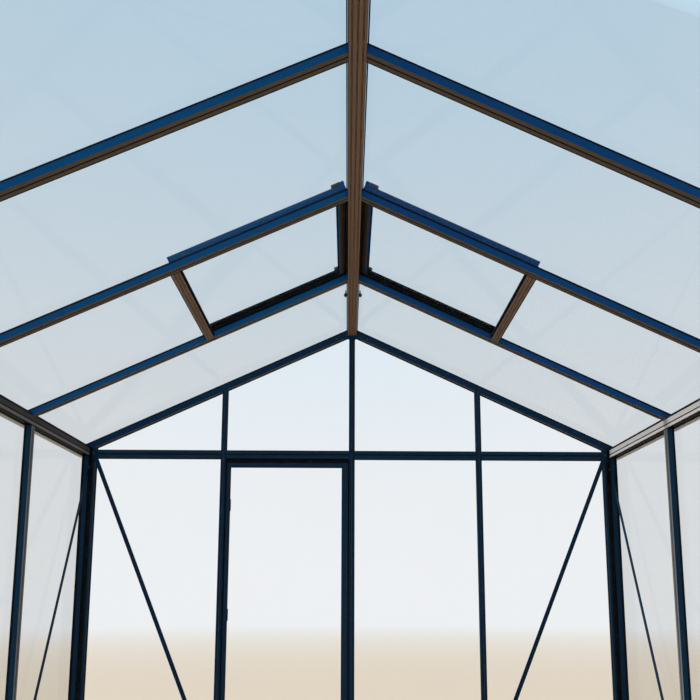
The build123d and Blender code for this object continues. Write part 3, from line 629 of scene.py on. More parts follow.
class Workpiece:
    """A mesh under construction, from bmesh operators, that ends as one finished object."""

    def __init__(self, name: str, look: Look, body: str = FRAME_BODY) -> None:
        """Start an empty mesh, for a look and for the body that the piece moves with."""
        self.name, self.look, self.body = name, look, body
        self.bm = bmesh.new()

    def grow(self, face: bmesh.types.BMFace, reach: Vector) -> None:
        """Draw a face out into a solid.

        Args:
            face: Face that stays as one end.
            reach: Way to the other end.
        """
        grown = bmesh.ops.extrude_face_region(self.bm, geom=[face], use_keep_orig=True)
        moved = [item for item in grown["geom"] if isinstance(item, bmesh.types.BMVert)]
        bmesh.ops.translate(self.bm, verts=moved, vec=reach)

    def bead(self, start: Vector, end: Vector, radius: float, flat: Vector | None = None,
             squash: float = 1.0, segments: int = 8) -> None:
        """Round or flattened strip between two points.

        Args:
            start: Middle of one end.
            end: Middle of the other end.
            radius: Half the width.
            flat: Direction in which the section is flattened.
            squash: Height of the section as a share of its width.
            segments: Sides of the section.
        """
        along = (end - start).normalized()
        up = flat if flat is not None else along.orthogonal()
        up = (up - up.dot(along) * along).normalized()
        axes = Matrix((up.cross(along), up, along)).transposed().to_4x4()
        place = Matrix.Translation(start) @ axes @ Matrix.Diagonal((1, squash, 1, 1))
        made = bmesh.ops.create_circle(self.bm, cap_ends=True, segments=segments, radius=radius, matrix=place)
        self.grow(made["verts"][0].link_faces[0], end - start)

    def loop(self, corners: Sequence[Vector], outward: Vector, radius: float,
             skip: Iterable[int] = (), depth: float | None = None) -> None:
        """Strip round an opening.

        Args:
            corners: Corners of the opening, in order.
            outward: Direction out of the pane.
            radius: Half the strip's width.
            skip: Edges that carry no strip.
            depth: Half the strip's reach out of the pane, where it isn't a little less than the radius.
        """
        for index, start in enumerate(corners):
            end = corners[(index + 1) % len(corners)]
            if index not in skip and (end - start).length > 4 * radius:
                more = (end - start).normalized() * radius * 0.8
                self.bead(start - more, end + more, radius, outward, depth / radius if depth else 0.8)

    def block(self, middle: Vector, size: Sequence[float], turn: Matrix | None = None,
              round_off: float = 0.0) -> None:
        """Box with softened edges.

        Args:
            middle: Middle of the box.
            size: Length along each of its own axes.
            turn: Its axes, where they aren't those of the house.
            round_off: Width of the softened edges.
        """
        place = Matrix.Translation(middle) @ (turn or Matrix.Identity(4)) @ Matrix.Diagonal((*size, 1))
        made = bmesh.ops.create_cube(self.bm, size=1.0, matrix=place)
        if round_off:
            edges = list({edge for vert in made["verts"] for edge in vert.link_edges})
            bmesh.ops.bevel(self.bm, geom=edges, offset=round_off, segments=2, profile=0.5,
                            affect="EDGES", material=-1)

    def turned(self, foot: Vector, axis: Vector, steps: Sequence[tuple[float, ...]], segments: int = 16) -> None:
        """Stepped round part on an axis.

        Args:
            foot: Where the part starts.
            axis: Direction in which it stands.
            steps: Radius and height of each step, and its sides where they differ from the rest.
            segments: Sides of each step.
        """
        turn = axis.to_track_quat("Z", "Y").to_matrix().to_4x4()
        height = 0.0
        for radius, length, *sides in steps:
            place = Matrix.Translation(foot + axis.normalized() * (height + length / 2)) @ turn
            made = bmesh.ops.create_cone(self.bm, cap_ends=True, segments=sides[0] if sides else segments,
                                         radius1=radius, radius2=radius, depth=length, matrix=place)
            rim = [edge for edge in {e for v in made["verts"] for e in v.link_edges}
                   if all((v.co - foot).dot(axis) > (height + length * 0.5) for v in edge.verts)]
            bmesh.ops.bevel(self.bm, geom=rim, offset=min(radius, length) * 0.22, segments=1,
                            profile=0.5, affect="EDGES", material=-1)
            height += length

    def nut(self, foot: Vector, axis: Vector, size: float = 0.006) -> None:
        """Washer, hexagon nut and the end of its bolt."""
        self.turned(foot, axis, [(size * 1.15, size * 0.2), (size * 0.92, size * 0.8, 6), (size * 0.48, size * 0.45)])

    def screw(self, foot: Vector, axis: Vector, size: float = CAP_SCREW) -> None:
        """Low round head of a screw."""
        self.turned(foot, axis, [(size, size * 0.35), (size * 0.72, size * 0.2)], 12)

    def finish(self) -> None:
        """Close the mesh, give it its look and hand it to its body."""
        bmesh.ops.recalc_face_normals(self.bm, faces=self.bm.faces)
        mesh = bpy.data.meshes.new(self.name)
        self.bm.to_mesh(mesh)
        self.bm.free()
        mesh.materials.append(self.look.material)
        mesh.shade_smooth()
        mesh.set_sharp_from_angle(angle=radians(35))
        piece = bpy.data.objects.new(self.name, mesh)
        bpy.context.scene.collection.objects.link(piece)
        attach(piece, self.body)
        log.info("%s: %d faces on %s", self.name, len(mesh.polygons), self.body)


@dataclass(frozen=True)
class SubAssembly:
    """One group of fittings of the house."""

    house: House = HOUSE

    def build(self) -> None:
        """Make every piece of the group."""
        raise NotImplementedError


class Opening(NamedTuple):
    """Corners on one face of the glass, the direction out of it, and the edges without a strip."""

    corners: list[Vector]
    outward: Vector
    inside: bool
    skip: tuple[int, ...] = ()


@dataclass(frozen=True)
class GlazingSeals(SubAssembly):
    """Rubber strips round each pane, inside and outside."""

    inner: float = 0.0024
    outer: float = 0.0016
    deep: float = 0.0065
    wall_deep: float = 0.0030
    vent_clear: float = 0.004

    def build(self) -> None:
        """Lay the strips of the walls, slopes and gables."""
        for name, side in zip(("left", "right"), SIDES):
            self.strips(f"wall_seals_{name}", self.wall(side), self.wall_deep)
            self.strips(f"roof_seals_{name}", self.slope(side))
        for name, end in zip(("front", "rear"), SIDES):
            self.strips(f"gable_seals_{name}", self.gable(end), self.deep)

    def strips(self, name: str, openings: Iterable[Opening], depth: float | None = None) -> None:
        """Lay the strips of one side of the house.

        Args:
            name: Name of the piece.
            openings: Openings that the strips go round.
            depth: Half the reach of the inner strips out of the glass.
        """
        work = Workpiece(name, RUBBER.look())
        for corners, outward, inside, skip in openings:
            radius = self.inner if inside else self.outer
            reach = depth if depth and inside else radius * 0.8
            work.loop([corner + outward * reach for corner in corners], outward, radius, skip, reach)
        work.finish()

    def faces(self, bar_width: float) -> Iterator[tuple[bool, float, int, float]]:
        """Both faces of the glass: if it is the inner one, its height, its direction, and half of what holds it."""
        yield True, 0.0, -1, bar_width / 2
        yield False, self.house.glass, 1, self.house.cap_width / 2

    def wall(self, side: int) -> Iterator[Opening]:
        """Find the openings of one side wall.

        Args:
            side: -1 for the left wall and 1 for the right one.

        Yields:
            The openings on both faces of the glass.
        """
        h = self.house
        for inside, level, away, gap in self.faces(h.bar_width):
            x = side * (h.wall_x + h.bar_depth + level)
            for low, high in stretches(h.bars, h.post_y, gap):
                corners = [at(x, y, z) for y, z in ring(low, high, h.sill_height, h.eave_bottom)]
                yield Opening(corners, side * away * X_AXIS, inside)

    def gable(self, end: int) -> Iterator[Opening]:
        """Find the openings of one gable, under and over the transoms.

        Args:
            end: -1 for the gable with the door and 1 for the other.

        Yields:
            The openings on both faces of the glass.
        """
        h = self.house
        for inside, level, away, gap in self.faces(h.mullion_width):
            step = 0 if inside else (h.transom_height - h.cap_width) / 2
            bottom, top = h.transom_top - step, h.transom_bottom + step
            y = end * (h.gable_y + h.bar_depth + level)
            for index, (low, high) in enumerate(stretches(h.mullions, h.post_x, gap)):
                under_rake = [(x, h.roof_z(x, -h.rake_depth)) for x in (high, low)]
                outlines = [[(low, bottom), (high, bottom), *under_rake]]
                if end > 0 or index != h.door_bay:
                    outlines.append(ring(low, high, h.sill_height, top))
                for outline in outlines:
                    yield Opening([at(x, y, z) for x, z in outline], end * away * Y_AXIS, inside)

    def slope(self, side: int) -> Iterator[Opening]:
        """Find the openings of one slope, below the vent in the bays that have one.

        Args:
            side: -1 for the left slope and 1 for the right one.

        Yields:
            The openings on both faces of the glass.
        """
        h = self.house
        for inside, level, away, gap in self.faces(h.bar_width):
            end_gap = 0 if inside else h.rake_lip - h.rake_ledge
            start = h.ridge_width / 2 + (0 if inside else h.ridge_lip)
            stop = h.wall_x + (h.eave_step if inside else h.out)
            below_vent = h.trimmer_top + h.trimmer_width * cos(h.slope) if inside else h.vent_bottom
            for bay, (low, high) in enumerate(stretches(h.bars, h.gable_y, gap, end_gap)):
                first = below_vent + self.vent_clear if bay in h.vent_bays else start
                corners = [h.on_roof(side, x, y, level) for y, x in ring(low, high, first, stop)]
                yield Opening(corners, away * h.up_off(side), inside, () if inside else (2,))


@dataclass(frozen=True)
class SlotStrips(SubAssembly):
    """Strips in the slots and grooves of the extrusions and along some of their edges. The black and brown ones are
    painted shade in the slots and grooves and painted shadow lines along the edges; the strips in the mullions are a
    lighter line.
    """

    mouth: float = 0.0034
    mouth_squash: float = 0.3
    recess: float = 0.0012
    eave_clear: float = 0.012
    groove: float = 0.0024
    groove_squash: float = 0.35
    groove_recess: float = 0.0034
    groove_end: float = 0.004
    ridge_pitch: float = 0.016
    trimmer_pitch: float = 0.013
    eave_groove: float = 0.0225
    # Edge beads: painted shadow lines along the edges.
    edge: float = 0.0018
    low_edge: float = 0.0028
    high_edge: float = 0.0042
    # Black blocks on the corner posts: painted shade.
    post_edges: Triple = (0.0015, 0.015, 0.0235)
    post_foot: float = 0.1
    post_past_transom: Place = (0.014, -0.012)
    post_thickness: float = 0.0022

    def build(self) -> None:
        """Make the strips of the roof, the walls, the mullions and the grooves."""
        self.roof()
        self.walls()
        self.mullions()
        self.grooves()

    def roof(self) -> None:
        """Black strips under the rafters and on the inner faces of the eave beams: painted shade in their slots and
        painted shadow lines along their edges.
        """
        work = Workpiece("roof_slot_shade", RUBBER.look())
        h = self.house
        first, last = h.ridge_width / 2, h.wall_x - self.eave_clear
        for side, y in product(SIDES, h.bars):
            rim = y - h.bar_width / 2 + self.edge / 2
            for row, low, radius, squash in ((y, self.recess, self.mouth, self.mouth_squash),
                                             (rim, 0, self.edge, 0.6)):
                ends = h.roof_line(side, (first, row), (last, row), low - h.rafter_depth)
                work.bead(*ends, radius, h.up_off(side), squash)
        for side, (inset, z, radius, squash) in product(SIDES, (
                (self.recess, h.eave_bottom + self.eave_groove, self.mouth, self.mouth_squash),
                (0, h.eave_bottom + self.low_edge, self.low_edge, 0.4),
                (0, h.eave - h.eave_ledge_drop - self.high_edge, self.high_edge, 0.4))):
            x = side * (h.wall_x + inset)
            work.bead(at(x, -h.gable_y, z), at(x, h.gable_y, z), radius, X_AXIS, squash)
        work.finish()

    def walls(self) -> None:
        """Black strips in the wall bars and transoms, and on the corner posts: painted shade in the slots and on the
        posts.
        """
        work = Workpiece("wall_slot_shade", RUBBER.look())
        h = self.house
        for side, y in product(SIDES, h.bars):
            x = side * (h.wall_x + self.recess)
            work.bead(at(x, y, h.sill_height), at(x, y, h.eave_bottom), self.mouth, X_AXIS, self.mouth_squash)
        z = h.transom_top - h.transom_height / 2
        for end, (low, high) in product(SIDES, stretches(h.mullions, h.post_x, h.mullion_width / 2)):
            y = end * (h.gable_y + self.recess)
            work.bead(at(low, y, z), at(high, y, z), self.mouth, Y_AXIS, self.mouth_squash)
        heads = [level + past for level, past in zip((h.transom_top, h.transom_bottom), self.post_past_transom)]
        foot = self.post_foot
        for end, side, (first, last, head) in product(SIDES, SIDES, zip(self.post_edges, self.post_edges[1:], heads)):
            middle = at(side * (h.wall_x - (first + last) / 2), end * (h.gable_y - 0.0004), (foot + head) / 2)
            work.block(middle, (last - first, self.post_thickness, head - foot))
        work.finish()

    def mullions(self) -> None:
        """Strips in the mullions."""
        work = Workpiece("mullion_slot_strips", LINE.look())
        h = self.house
        for end, x in product(SIDES, h.mullions):
            y = end * (h.gable_y + self.recess)
            head = h.roof_z(x, -h.rake_depth)
            work.bead(at(x, y, h.sill_height), at(x, y, head), self.mouth, Y_AXIS, self.mouth_squash)
        work.finish()

    def grooves(self) -> None:
        """Brown strips in the grooves under the ridge and the trimmers: painted shade in the grooves."""
        work = Workpiece("groove_shade_strips", GROOVE_SHADE.look())
        h = self.house
        level = h.apex - h.ridge_depth + self.groove_recess
        stop = h.gable_y - self.groove_end
        for x in (-self.ridge_pitch, 0, self.ridge_pitch):
            work.bead(at(x, -stop, level), at(x, stop, level), self.groove, Z_AXIS, self.groove_squash)
        body = h.trimmer_top + (h.trimmer_width - h.trimmer_body / 2) * cos(h.slope)
        for (side, middle), row in product(h.vents, SIDES):
            x = body + row * self.trimmer_pitch / 2 * cos(h.slope)
            ends = h.roof_line(side, (x, middle - h.half_clear), (x, middle + h.half_clear),
                               self.groove_recess - h.rafter_depth)
            work.bead(*ends, self.groove, h.up_off(side), self.groove_squash)
        work.finish()


@dataclass(frozen=True)
class RoofFittings(SubAssembly):
    """Seals, clips and screws of the ridge and the four vents, and the ends of the ridge."""

    vent_top: float = 0.030
    vent_stile: float = 0.028
    vent_head: float = 0.036
    vent_rail: float = 0.030
    vent_gap: float = 0.0015
    vent_height: float = 0.030
    vent_screw: float = 0.0036
    lining: float = 0.0012
    block_start: float = 0.042
    block_length: float = 0.034
    block_height: float = 0.013
    block_screws: Place = (0.27, 0.73)
    rail_screws: Triple = (-0.66, 0.0, 0.66)
    cover: float = 0.0016
    clip_from_front: float = 0.575
    clip_reach: float = 0.037
    clip_radius: float = 0.0095
    clip_width: float = 0.012
    clip_wire: float = 0.0028
    strip_width: float = 0.006
    strip_drop: float = 0.001
    ridge_strip: float = 0.002
    end_plate: float = 0.002
    plate_side: float = 0.03
    plate_point: float = 0.075
    plate_screws: tuple[Place, ...] = ((-0.014, 0.022), (0.014, 0.022), (0, 0.055))
    screw_pitch: float = 0.37
    screws_down: tuple[float, ...] = (0.06, 0.42, 0.80, 1.15, 1.50)
    under_vent: int = 2

    def build(self) -> None:
        """Make the fittings of the roof."""
        self.seals()
        self.blocks()
        self.clips()
        self.ridge_strips()
        self.ridge_ends()
        self.cap_screws()

    def seals(self) -> None:
        """Strips between the vents and the bars that they lie on, round their panes, and rubber linings in their
        rebates that also stand for the shade on the stiles' inner faces.
        """
        work = Workpiece("vent_seals", RUBBER.look())
        h = self.house
        half = h.bay / 2 - self.vent_gap - self.vent_stile
        stile, rim = half + 0.0055, half + self.vent_stile
        top, bottom = self.vent_top, h.vent_bottom
        flange = h.trimmer_top + (h.trimmer_width - h.trimmer_body) / 2 * cos(h.slope)
        edge = h.ridge_width / 2 + 0.0022
        # Both ends from the vent's middle, height off the glazing plane, half the width, squash.
        strips = [((edge, -rim), (edge, rim), -self.strip_drop, 0.0034, 0.8)]
        for x in (top + 0.008, bottom - 0.016):
            strips.append(((x, -half), (x, half), h.cap_top * 0.6, 0.0050, 0.85))
        for row in SIDES:
            strips.append(((top + 0.004, row * stile), (bottom - 0.012, row * stile), h.cap_top / 2, 0.0052, 0.72))
            strips.append(((flange, 0), (flange, row * h.half_clear), -h.trimmer_flange - 0.004, 0.0048, 0.9))
        pane = h.cap_top + (self.vent_height - h.channel) / 2
        first = top + self.vent_head * cos(h.slope)
        last = bottom - self.vent_rail * cos(h.slope)
        for side, middle in h.vents:
            outward = h.up_off(side)
            for (x, y), (end_x, end_y), level, radius, squash in strips:
                ends = h.roof_line(side, (x, middle + y), (end_x, middle + end_y), level)
                work.bead(*ends, radius, outward, squash)
            for level, away in ((pane, -1), (pane + h.glass, 1)):
                work.loop([h.on_roof(side, x, middle + y, level) + outward * away * 0.0016
                           for y, x in ring(-half, half, first, last)], outward, 0.002)
            # Thin rubber linings in the rebates: partly real lining, partly painted shade on the stiles' inner faces.
            rebates = ((h.cap_top, pane), (pane + h.glass, h.cap_top + self.vent_height))
            for row, (low, high) in product(SIDES, rebates):
                place = h.on_roof(side, (first + last) / 2, middle + row * (half - self.lining / 2), (low + high) / 2)
                size = ((last - first) / cos(h.slope), self.lining, high - low - 0.001)
                work.block(place, size, h.slope_axes(side))
        work.finish()

    def blocks(self) -> None:
        """Covers and screws of the hinge blocks at the heads of the vents, and screws in the vent frames."""
        h = self.house
        work = Workpiece("vent_screws", STEEL.look())
        covers = Workpiece("vent_block_covers", PLASTIC.look())
        half = h.bay / 2 - self.vent_gap - self.vent_stile / 2
        top = h.cap_top + self.vent_height
        size = (self.block_length + self.cover, self.vent_stile + self.cover, self.block_height + self.cover / 2)
        middle_x, *screws_x = (
            self.vent_top + (self.block_start - self.vent_top + self.block_length * share) * cos(h.slope)
            for share in (0.5, *self.block_screws))
        rail = h.vent_bottom - self.vent_rail * cos(h.slope) / 2
        # Place down the slope, place across as a share of the half width, height, size of the head.
        screws = [(x, row, top + size[2], WIDE_SCREW) for row, x in product(SIDES, screws_x)]
        screws += [(x, row, top, self.vent_screw)
                   for row, x in product(SIDES, (self.vent_top + 0.085, h.vent_bottom - 0.015))]
        screws += [(rail, share, top, self.vent_screw) for share in self.rail_screws]
        for side, middle in h.vents:
            for row in SIDES:
                place = h.on_roof(side, middle_x, middle + row * half, top + size[2] / 2)
                covers.block(place, size, h.slope_axes(side), 0.0008)
            for x, share, level, head in screws:
                work.screw(h.on_roof(side, x, middle + share * half, level), h.up_off(side), head)
        work.finish()
        covers.finish()

    def clips(self) -> None:
        """Two half-round hooks beside the ridge, over the door bay."""
        work = Workpiece("ridge_clips", PLASTIC.look())
        h = self.house
        y = -h.gable_y + self.clip_from_front
        for side in SIDES:
            middle = at(side * self.clip_reach, y, h.apex - h.ridge_depth + 0.003)
            work.bead(h.on_roof(side, self.clip_reach, y, -0.001), middle, self.clip_wire)
            work.turned(middle - self.clip_width / 2 * Y_AXIS, Y_AXIS, [(self.clip_radius, self.clip_width)], 20)
        work.finish()

    def ridge_strips(self) -> None:
        """Thin seals on the glass, a little away from the ridge."""
        work = Workpiece("ridge_seals", RUBBER.look())
        h = self.house
        x = h.ridge_width / 2 + self.strip_width
        for side, (bay, (low, high)) in product(SIDES, enumerate(stretches(h.bars, h.gable_y, h.bar_width / 2))):
            if bay not in h.vent_bays:
                work.bead(*h.roof_line(side, (x, low), (x, high), -self.strip_drop), 0.0012)
        work.finish()

    def ridge_ends(self) -> None:
        """Folded plates that close both ends of the ridge, with a rolled lower edge."""
        work = Workpiece("ridge_end_plates", LEVEL.look(Run.ACROSS_GABLE))
        h = self.house
        lip = h.ridge_width / 2 + h.ridge_lip
        head, foot = h.cap_top + self.ridge_strip, -self.plate_side
        for end in SIDES:
            y = end * (h.gable_y + h.out)
            outline = [*((x, h.roof_z(x, head)) for x in (-lip, 0, lip)), (lip, h.roof_z(lip, foot)),
                       (0, h.apex - self.plate_point), (-lip, h.roof_z(lip, foot))]
            plate = work.bm.faces.new([work.bm.verts.new((x, y, z)) for x, z in outline])
            work.grow(plate, end * self.end_plate * Y_AXIS)
            for x, drop in self.plate_screws:
                work.screw(at(x, y + end * self.end_plate, h.apex - drop), end * Y_AXIS, FINE_SCREW)
        work.finish()

    def cap_screws(self) -> None:
        """Screws along the ridge strip and on the caps of the rafters."""
        work = Workpiece("roof_screws", STEEL.look())
        h = self.house
        pitches = range(round(2 * h.gable_y / self.screw_pitch))
        for side in SIDES:
            places = [(0.019, (index + 0.5) * self.screw_pitch - h.gable_y, self.ridge_strip) for index in pitches]
            for y in h.bars:
                by_vent = any(abs(y - middle) < 0.6 * h.bay for slope, middle in h.vents if slope == side)
                places += [(x, y, 0) for x in self.screws_down[self.under_vent if by_vent else 0:]]
            places += [(x, end * (h.gable_y + h.out / 2 + 0.004), 0) for end, x in product(SIDES, self.screws_down)]
            for x, y, above in places:
                work.screw(h.on_roof(side, x, y, h.cap_top + above), h.up_off(side))
        work.finish()


@dataclass(frozen=True)
class WallFittings(SubAssembly):
    """Nuts of the braces and gussets, foot brackets and the screws of the wall caps."""

    brace: float = 0.004
    gable_brace_top: Place = (0.027, 0.0595)
    side_brace_top: Place = (0.012, 0.1445)
    brace_foot: float = 0.038
    gusset: float = 0.003
    gusset_nuts: Place = (0.030, 0.088)
    small_nut: float = 0.005
    bracket: Triple = (0.046, 0.030, 0.003)
    bracket_gap: float = 0.003
    cap_heights: tuple[float, ...] = (0.11, 0.52, 0.93, 1.34, 1.75)
    gable_height: float = 2.0
    post_heights: tuple[float, ...] = (0.10, 0.68, 1.26, 1.78)
    post_inset: float = 0.027

    def build(self) -> None:
        """Make the fittings of the walls."""
        self.nuts()
        self.feet()
        self.cap_screws()

    def nuts(self) -> None:
        """Nuts on both ends of each brace, on the gussets and at the feet of the bars."""
        work = Workpiece("frame_nuts", BLACK_COAT.look())
        h = self.house
        inset, drop = self.gable_brace_top
        side_inset, side_drop = self.side_brace_top
        for end, row in product(SIDES, SIDES):
            for x, z in ((h.wall_x - inset, h.eave - drop), (h.mullions[-1], self.brace_foot)):
                work.nut(at(row * x, end * (h.gable_y - self.brace), z), -end * Y_AXIS)
            for y, z in ((h.gable_y - side_inset, h.eave - side_drop), (h.bars[-1], self.brace_foot)):
                work.nut(at(end * (h.wall_x - self.brace), row * y, z), -end * X_AXIS)
            for x in self.gusset_nuts:
                place = at(row * x, end * (h.gable_y - self.gusset), h.roof_z(x, 0.012 - h.rake_depth))
                work.nut(place, -end * Y_AXIS, self.small_nut)
        for side, y in product(SIDES, h.bars):
            work.nut(at(side * h.wall_x, y, h.sill_height + 0.03), -side * X_AXIS, self.small_nut)
        for end, x in product(SIDES, h.mullions):
            work.nut(at(x, end * h.gable_y, h.sill_height + 0.06), -end * Y_AXIS, self.small_nut)
        work.finish()

    def feet(self) -> None:
        """Angle brackets that hold the sills to the ground."""
        work = Workpiece("ground_brackets", STEEL.look())
        h = self.house
        length, depth, thick = self.bracket
        floor = self.bracket_gap
        for side, bay in product(SIDES, range(h.side_bays)):
            y = h.bay_middle(bay)
            edge = side * (h.wall_x - self.bracket_gap)
            for x, z, size in ((edge - side * depth / 2, floor + thick / 2, (depth, length, thick)),
                               (edge + side * thick / 2, floor + depth / 2, (thick, length, depth))):
                work.block(at(x, y, z), size, round_off=0.0008)
            work.nut(at(edge - side * 0.017, y, floor + thick), Z_AXIS, self.small_nut)
        work.finish()

    def cap_screws(self) -> None:
        """Screws on the caps of the wall bars, mullions and posts."""
        work = Workpiece("wall_screws", STEEL.look())
        h = self.house
        x_out, y_out = h.wall_x + h.out, h.gable_y + h.out
        for side, y, z in product(SIDES, h.bars, self.cap_heights):
            work.screw(at(side * x_out, y, z), side * X_AXIS)
        for end, x, z in product(SIDES, h.mullions, (*self.cap_heights, self.gable_height)):
            work.screw(at(x, end * y_out, z), end * Y_AXIS)
        for end, side, z in product(SIDES, SIDES, self.post_heights):
            for x, y, outward in ((h.post_x + self.post_inset, y_out, end * Y_AXIS),
                                  (x_out, h.post_y + self.post_inset, side * X_AXIS)):
                work.screw(at(side * x, end * y, z), outward, WIDE_SCREW)
        work.finish()


@dataclass(frozen=True)
class GutterFittings(SubAssembly):
    """Straps across the gutters and the screws of their end plates."""

    strap: Triple = (0.050, 0.016, 0.0016)
    strap_drop: float = 0.006
    first_strap: float = -2.16
    last_strap: float = 2.10
    end_plate: float = 0.003
    plate_screws: tuple[Place, ...] = ((-0.017, 0.026), (0.017, 0.026), (0, 0.008))

    def build(self) -> None:
        """Make the fittings of the gutters."""
        h = self.house
        straps = Workpiece("gutter_straps", PLAIN.look(Run.ALONG_RIDGE))
        screws = Workpiece("gutter_screws", STEEL.look())
        floor = h.eave_bottom + h.gutter_drop
        level = floor + h.gutter_height - self.strap_drop
        middle = h.gutter_x + h.gutter_width / 2
        _, width, thick = self.strap
        for side, y in product(SIDES, (self.first_strap, *h.bars, self.last_strap)):
            for x, z, size in ((middle, level, self.strap),
                               (h.gutter_x + 0.002, level - 0.007, (thick, width, width))):
                straps.block(at(side * x, y, z), size, round_off=0.0004)
            screws.screw(at(side * (h.gutter_x + 0.009), y, level + thick / 2), Z_AXIS, 0.003)
        y = h.gable_y + h.out + h.gutter_overhang + self.end_plate
        for side, end, (across, up) in product(SIDES, SIDES, self.plate_screws):
            screws.screw(at(side * (middle + across), end * y, floor + up), end * Y_AXIS, FINE_SCREW)
        straps.finish()
        screws.finish()


@dataclass(frozen=True)
class DoorFittings(SubAssembly):
    """Seals, lock, handle roses, hinge screws and drip strip of the door."""

    leaf_x: Place = (0.021, 0.719)
    leaf_z: Place = (0.031, 1.797)
    inner_y: float = -2.228
    outer_y: float = -2.255
    lock_stile: float = 0.035
    hinge_stile: float = 0.020
    top_rail: float = 0.042
    kick_rail: float = 0.070
    tube: float = 0.0034
    head_shade_strip: float = 0.017
    lock_z: float = 0.84
    lock_plate: Triple = (0.024, 0.003, 0.11)
    latch: Triple = (0.0044, 0.010, 0.030)
    handle_z: Place = (0.89, 1.11)
    hinge_axis: Place = (0.722, -2.2645)
    hinge_heights: Triple = (0.291, 0.914, 1.537)
    hinge_reach: float = 0.0069
    hinge_leaf: float = 0.020
    hinge_thickness: float = 0.003
    hinge_half: float = 0.033
    hinge_screws: Place = (-0.021, 0.021)

    def build(self) -> None:
        """Make the fittings of the door, most of them on the leaf."""
        self.seals()
        self.glazing()
        self.brush()
        self.drip_strip()
        self.lock()
        self.cylinder()
        self.keyway()
        self.plate_screws()
        self.hinge_caps()

    @property
    def lock_x(self) -> float:
        """Middle of the stile that carries the lock."""
        return self.leaf_x[0] + self.lock_stile / 2

    @property
    def middle_y(self) -> float:
        """Middle of the leaf's thickness."""
        return (self.inner_y + self.outer_y) / 2

    def seals(self) -> None:
        """Tube seals in the gap round the leaf, fixed to the jambs and the transom; the top one also stands for the
        shade in the gap under the transom, as painted shade.
        """
        work = Workpiece("door_seals", RUBBER.look())
        low, high = self.leaf_x
        half_gap = (low - self.house.mullion_width / 2) / 2
        y = self.inner_y - 0.007
        left, right, bottom, top = low - half_gap, high + half_gap, 0.03, self.leaf_z[1] + half_gap
        for x, z, end_x in ((left, bottom, left), (right, bottom, right), (left, top, right)):
            work.bead(at(x, y, z), at(end_x, y, top), self.tube, Y_AXIS, 0.9)
        work.finish()

    def glazing(self) -> None:
        """Strips round the pane of the leaf, on both faces, and under its head a black strip that is painted shade
        under the transom.
        """
        work = Workpiece("door_glass_seals", RUBBER.look(), DOOR_BODY)
        low, high = self.leaf_x
        foot, head = self.leaf_z
        corners = ring(low + self.lock_stile, high - self.hinge_stile, foot + self.kick_rail, head - self.top_rail)
        for away in SIDES:
            y = self.middle_y + away * 0.0038
            work.loop([at(x, y, z) for x, z in corners], away * Y_AXIS, 0.0022)
        # Black strip on the inner face of the top rail: painted shade under the transom.
        place = at((low + high) / 2, self.inner_y + 0.0006, head - self.head_shade_strip / 2 - 0.001)
        work.block(place, (high - low - 0.004, 0.0024, self.head_shade_strip), round_off=0.0005)
        work.finish()

    def brush(self) -> None:
        """Brush under the leaf."""
        work = Workpiece("door_brush", PILE.look(), DOOR_BODY)
        low, high = self.leaf_x
        place = at((low + high) / 2, self.outer_y + 0.006, self.leaf_z[0] - 0.001)
        work.block(place, (high - low - 0.012, 0.004, 0.009), round_off=0.0008)
        work.finish()

    def drip_strip(self) -> None:
        """Rounded strip at the foot of the leaf's outer face."""
        work = Workpiece("door_drip_strip", LEVEL.look(Run.ACROSS_GABLE), DOOR_BODY)
        low, high = self.leaf_x
        y, z = self.outer_y - 0.001, self.leaf_z[0] + 0.014
        work.bead(at(low + 0.006, y, z), at(high - 0.006, y, z), 0.007, Y_AXIS, 0.8, 12)
        work.finish()

    def lock(self) -> None:
        """Lock plate, the roses of the handle and the latch."""
        work = Workpiece("door_lock", BLACK_COAT.look(), DOOR_BODY)
        plate = at(self.lock_x, self.outer_y - self.lock_plate[1] / 2, self.lock_z)
        work.block(plate, self.lock_plate, round_off=0.0011)
        for z in self.handle_z:
            work.turned(at(self.lock_x, self.outer_y, z), -Y_AXIS, [(0.0125, 0.003), (0.0095, 0.002)], 28)
        work.block(at(self.leaf_x[0] - 0.0012, self.middle_y, self.lock_z), self.latch, round_off=0.001)
        work.finish()

    def cylinder(self) -> None:
        """Lock cylinder and the screws of its plate."""
        work = Workpiece("door_lock_cylinder", STEEL.look(), DOOR_BODY)
        y = self.outer_y - self.lock_plate[1]
        work.turned(at(self.lock_x, y, self.lock_z - 0.012), -Y_AXIS, [(0.0085, 0.0022), (0.006, 0.0012)], 28)
        for up in (-0.045, 0.045):
            work.screw(at(self.lock_x, y, self.lock_z + up), -Y_AXIS, FINE_SCREW)
        work.finish()

    def keyway(self) -> None:
        """Dark slit in the cylinder: a black sheet on its face, painted shade of the keyway."""
        work = Workpiece("door_keyway", Look(RUBBER.look().material, Slot.FITTINGS), DOOR_BODY)
        work.block(at(self.lock_x, self.outer_y - 0.0064, self.lock_z - 0.013), (0.0012, 0.0006, 0.006))
        work.finish()

    def plate_screws(self) -> None:
        """Screws in the hinge plates on the frame and on the leaf."""
        frame_face = -self.house.gable_y - self.house.out
        for name, away, face, body in (("hinge_screws_frame", 1, frame_face, FRAME_BODY),
                                       ("hinge_screws_door", -1, self.outer_y, DOOR_BODY)):
            work = Workpiece(name, STEEL.look(), body)
            x = self.hinge_axis[0] + away * (self.hinge_reach + self.hinge_leaf / 2)
            for z, up in product(self.hinge_heights, self.hinge_screws):
                work.screw(at(x, face - self.hinge_thickness, z + up), -Y_AXIS, WIDE_SCREW)
            work.finish()

    def hinge_caps(self) -> None:
        """Caps on both ends of the hinge pins."""
        work = Workpiece("hinge_caps", BLACK_COAT.look())
        for z, end in product(self.hinge_heights, SIDES):
            foot = at(*self.hinge_axis, z + end * self.hinge_half)
            work.turned(foot, end * Z_AXIS, [(0.0048, 0.0015), (0.0034, 0.001)], 20)
        work.finish()


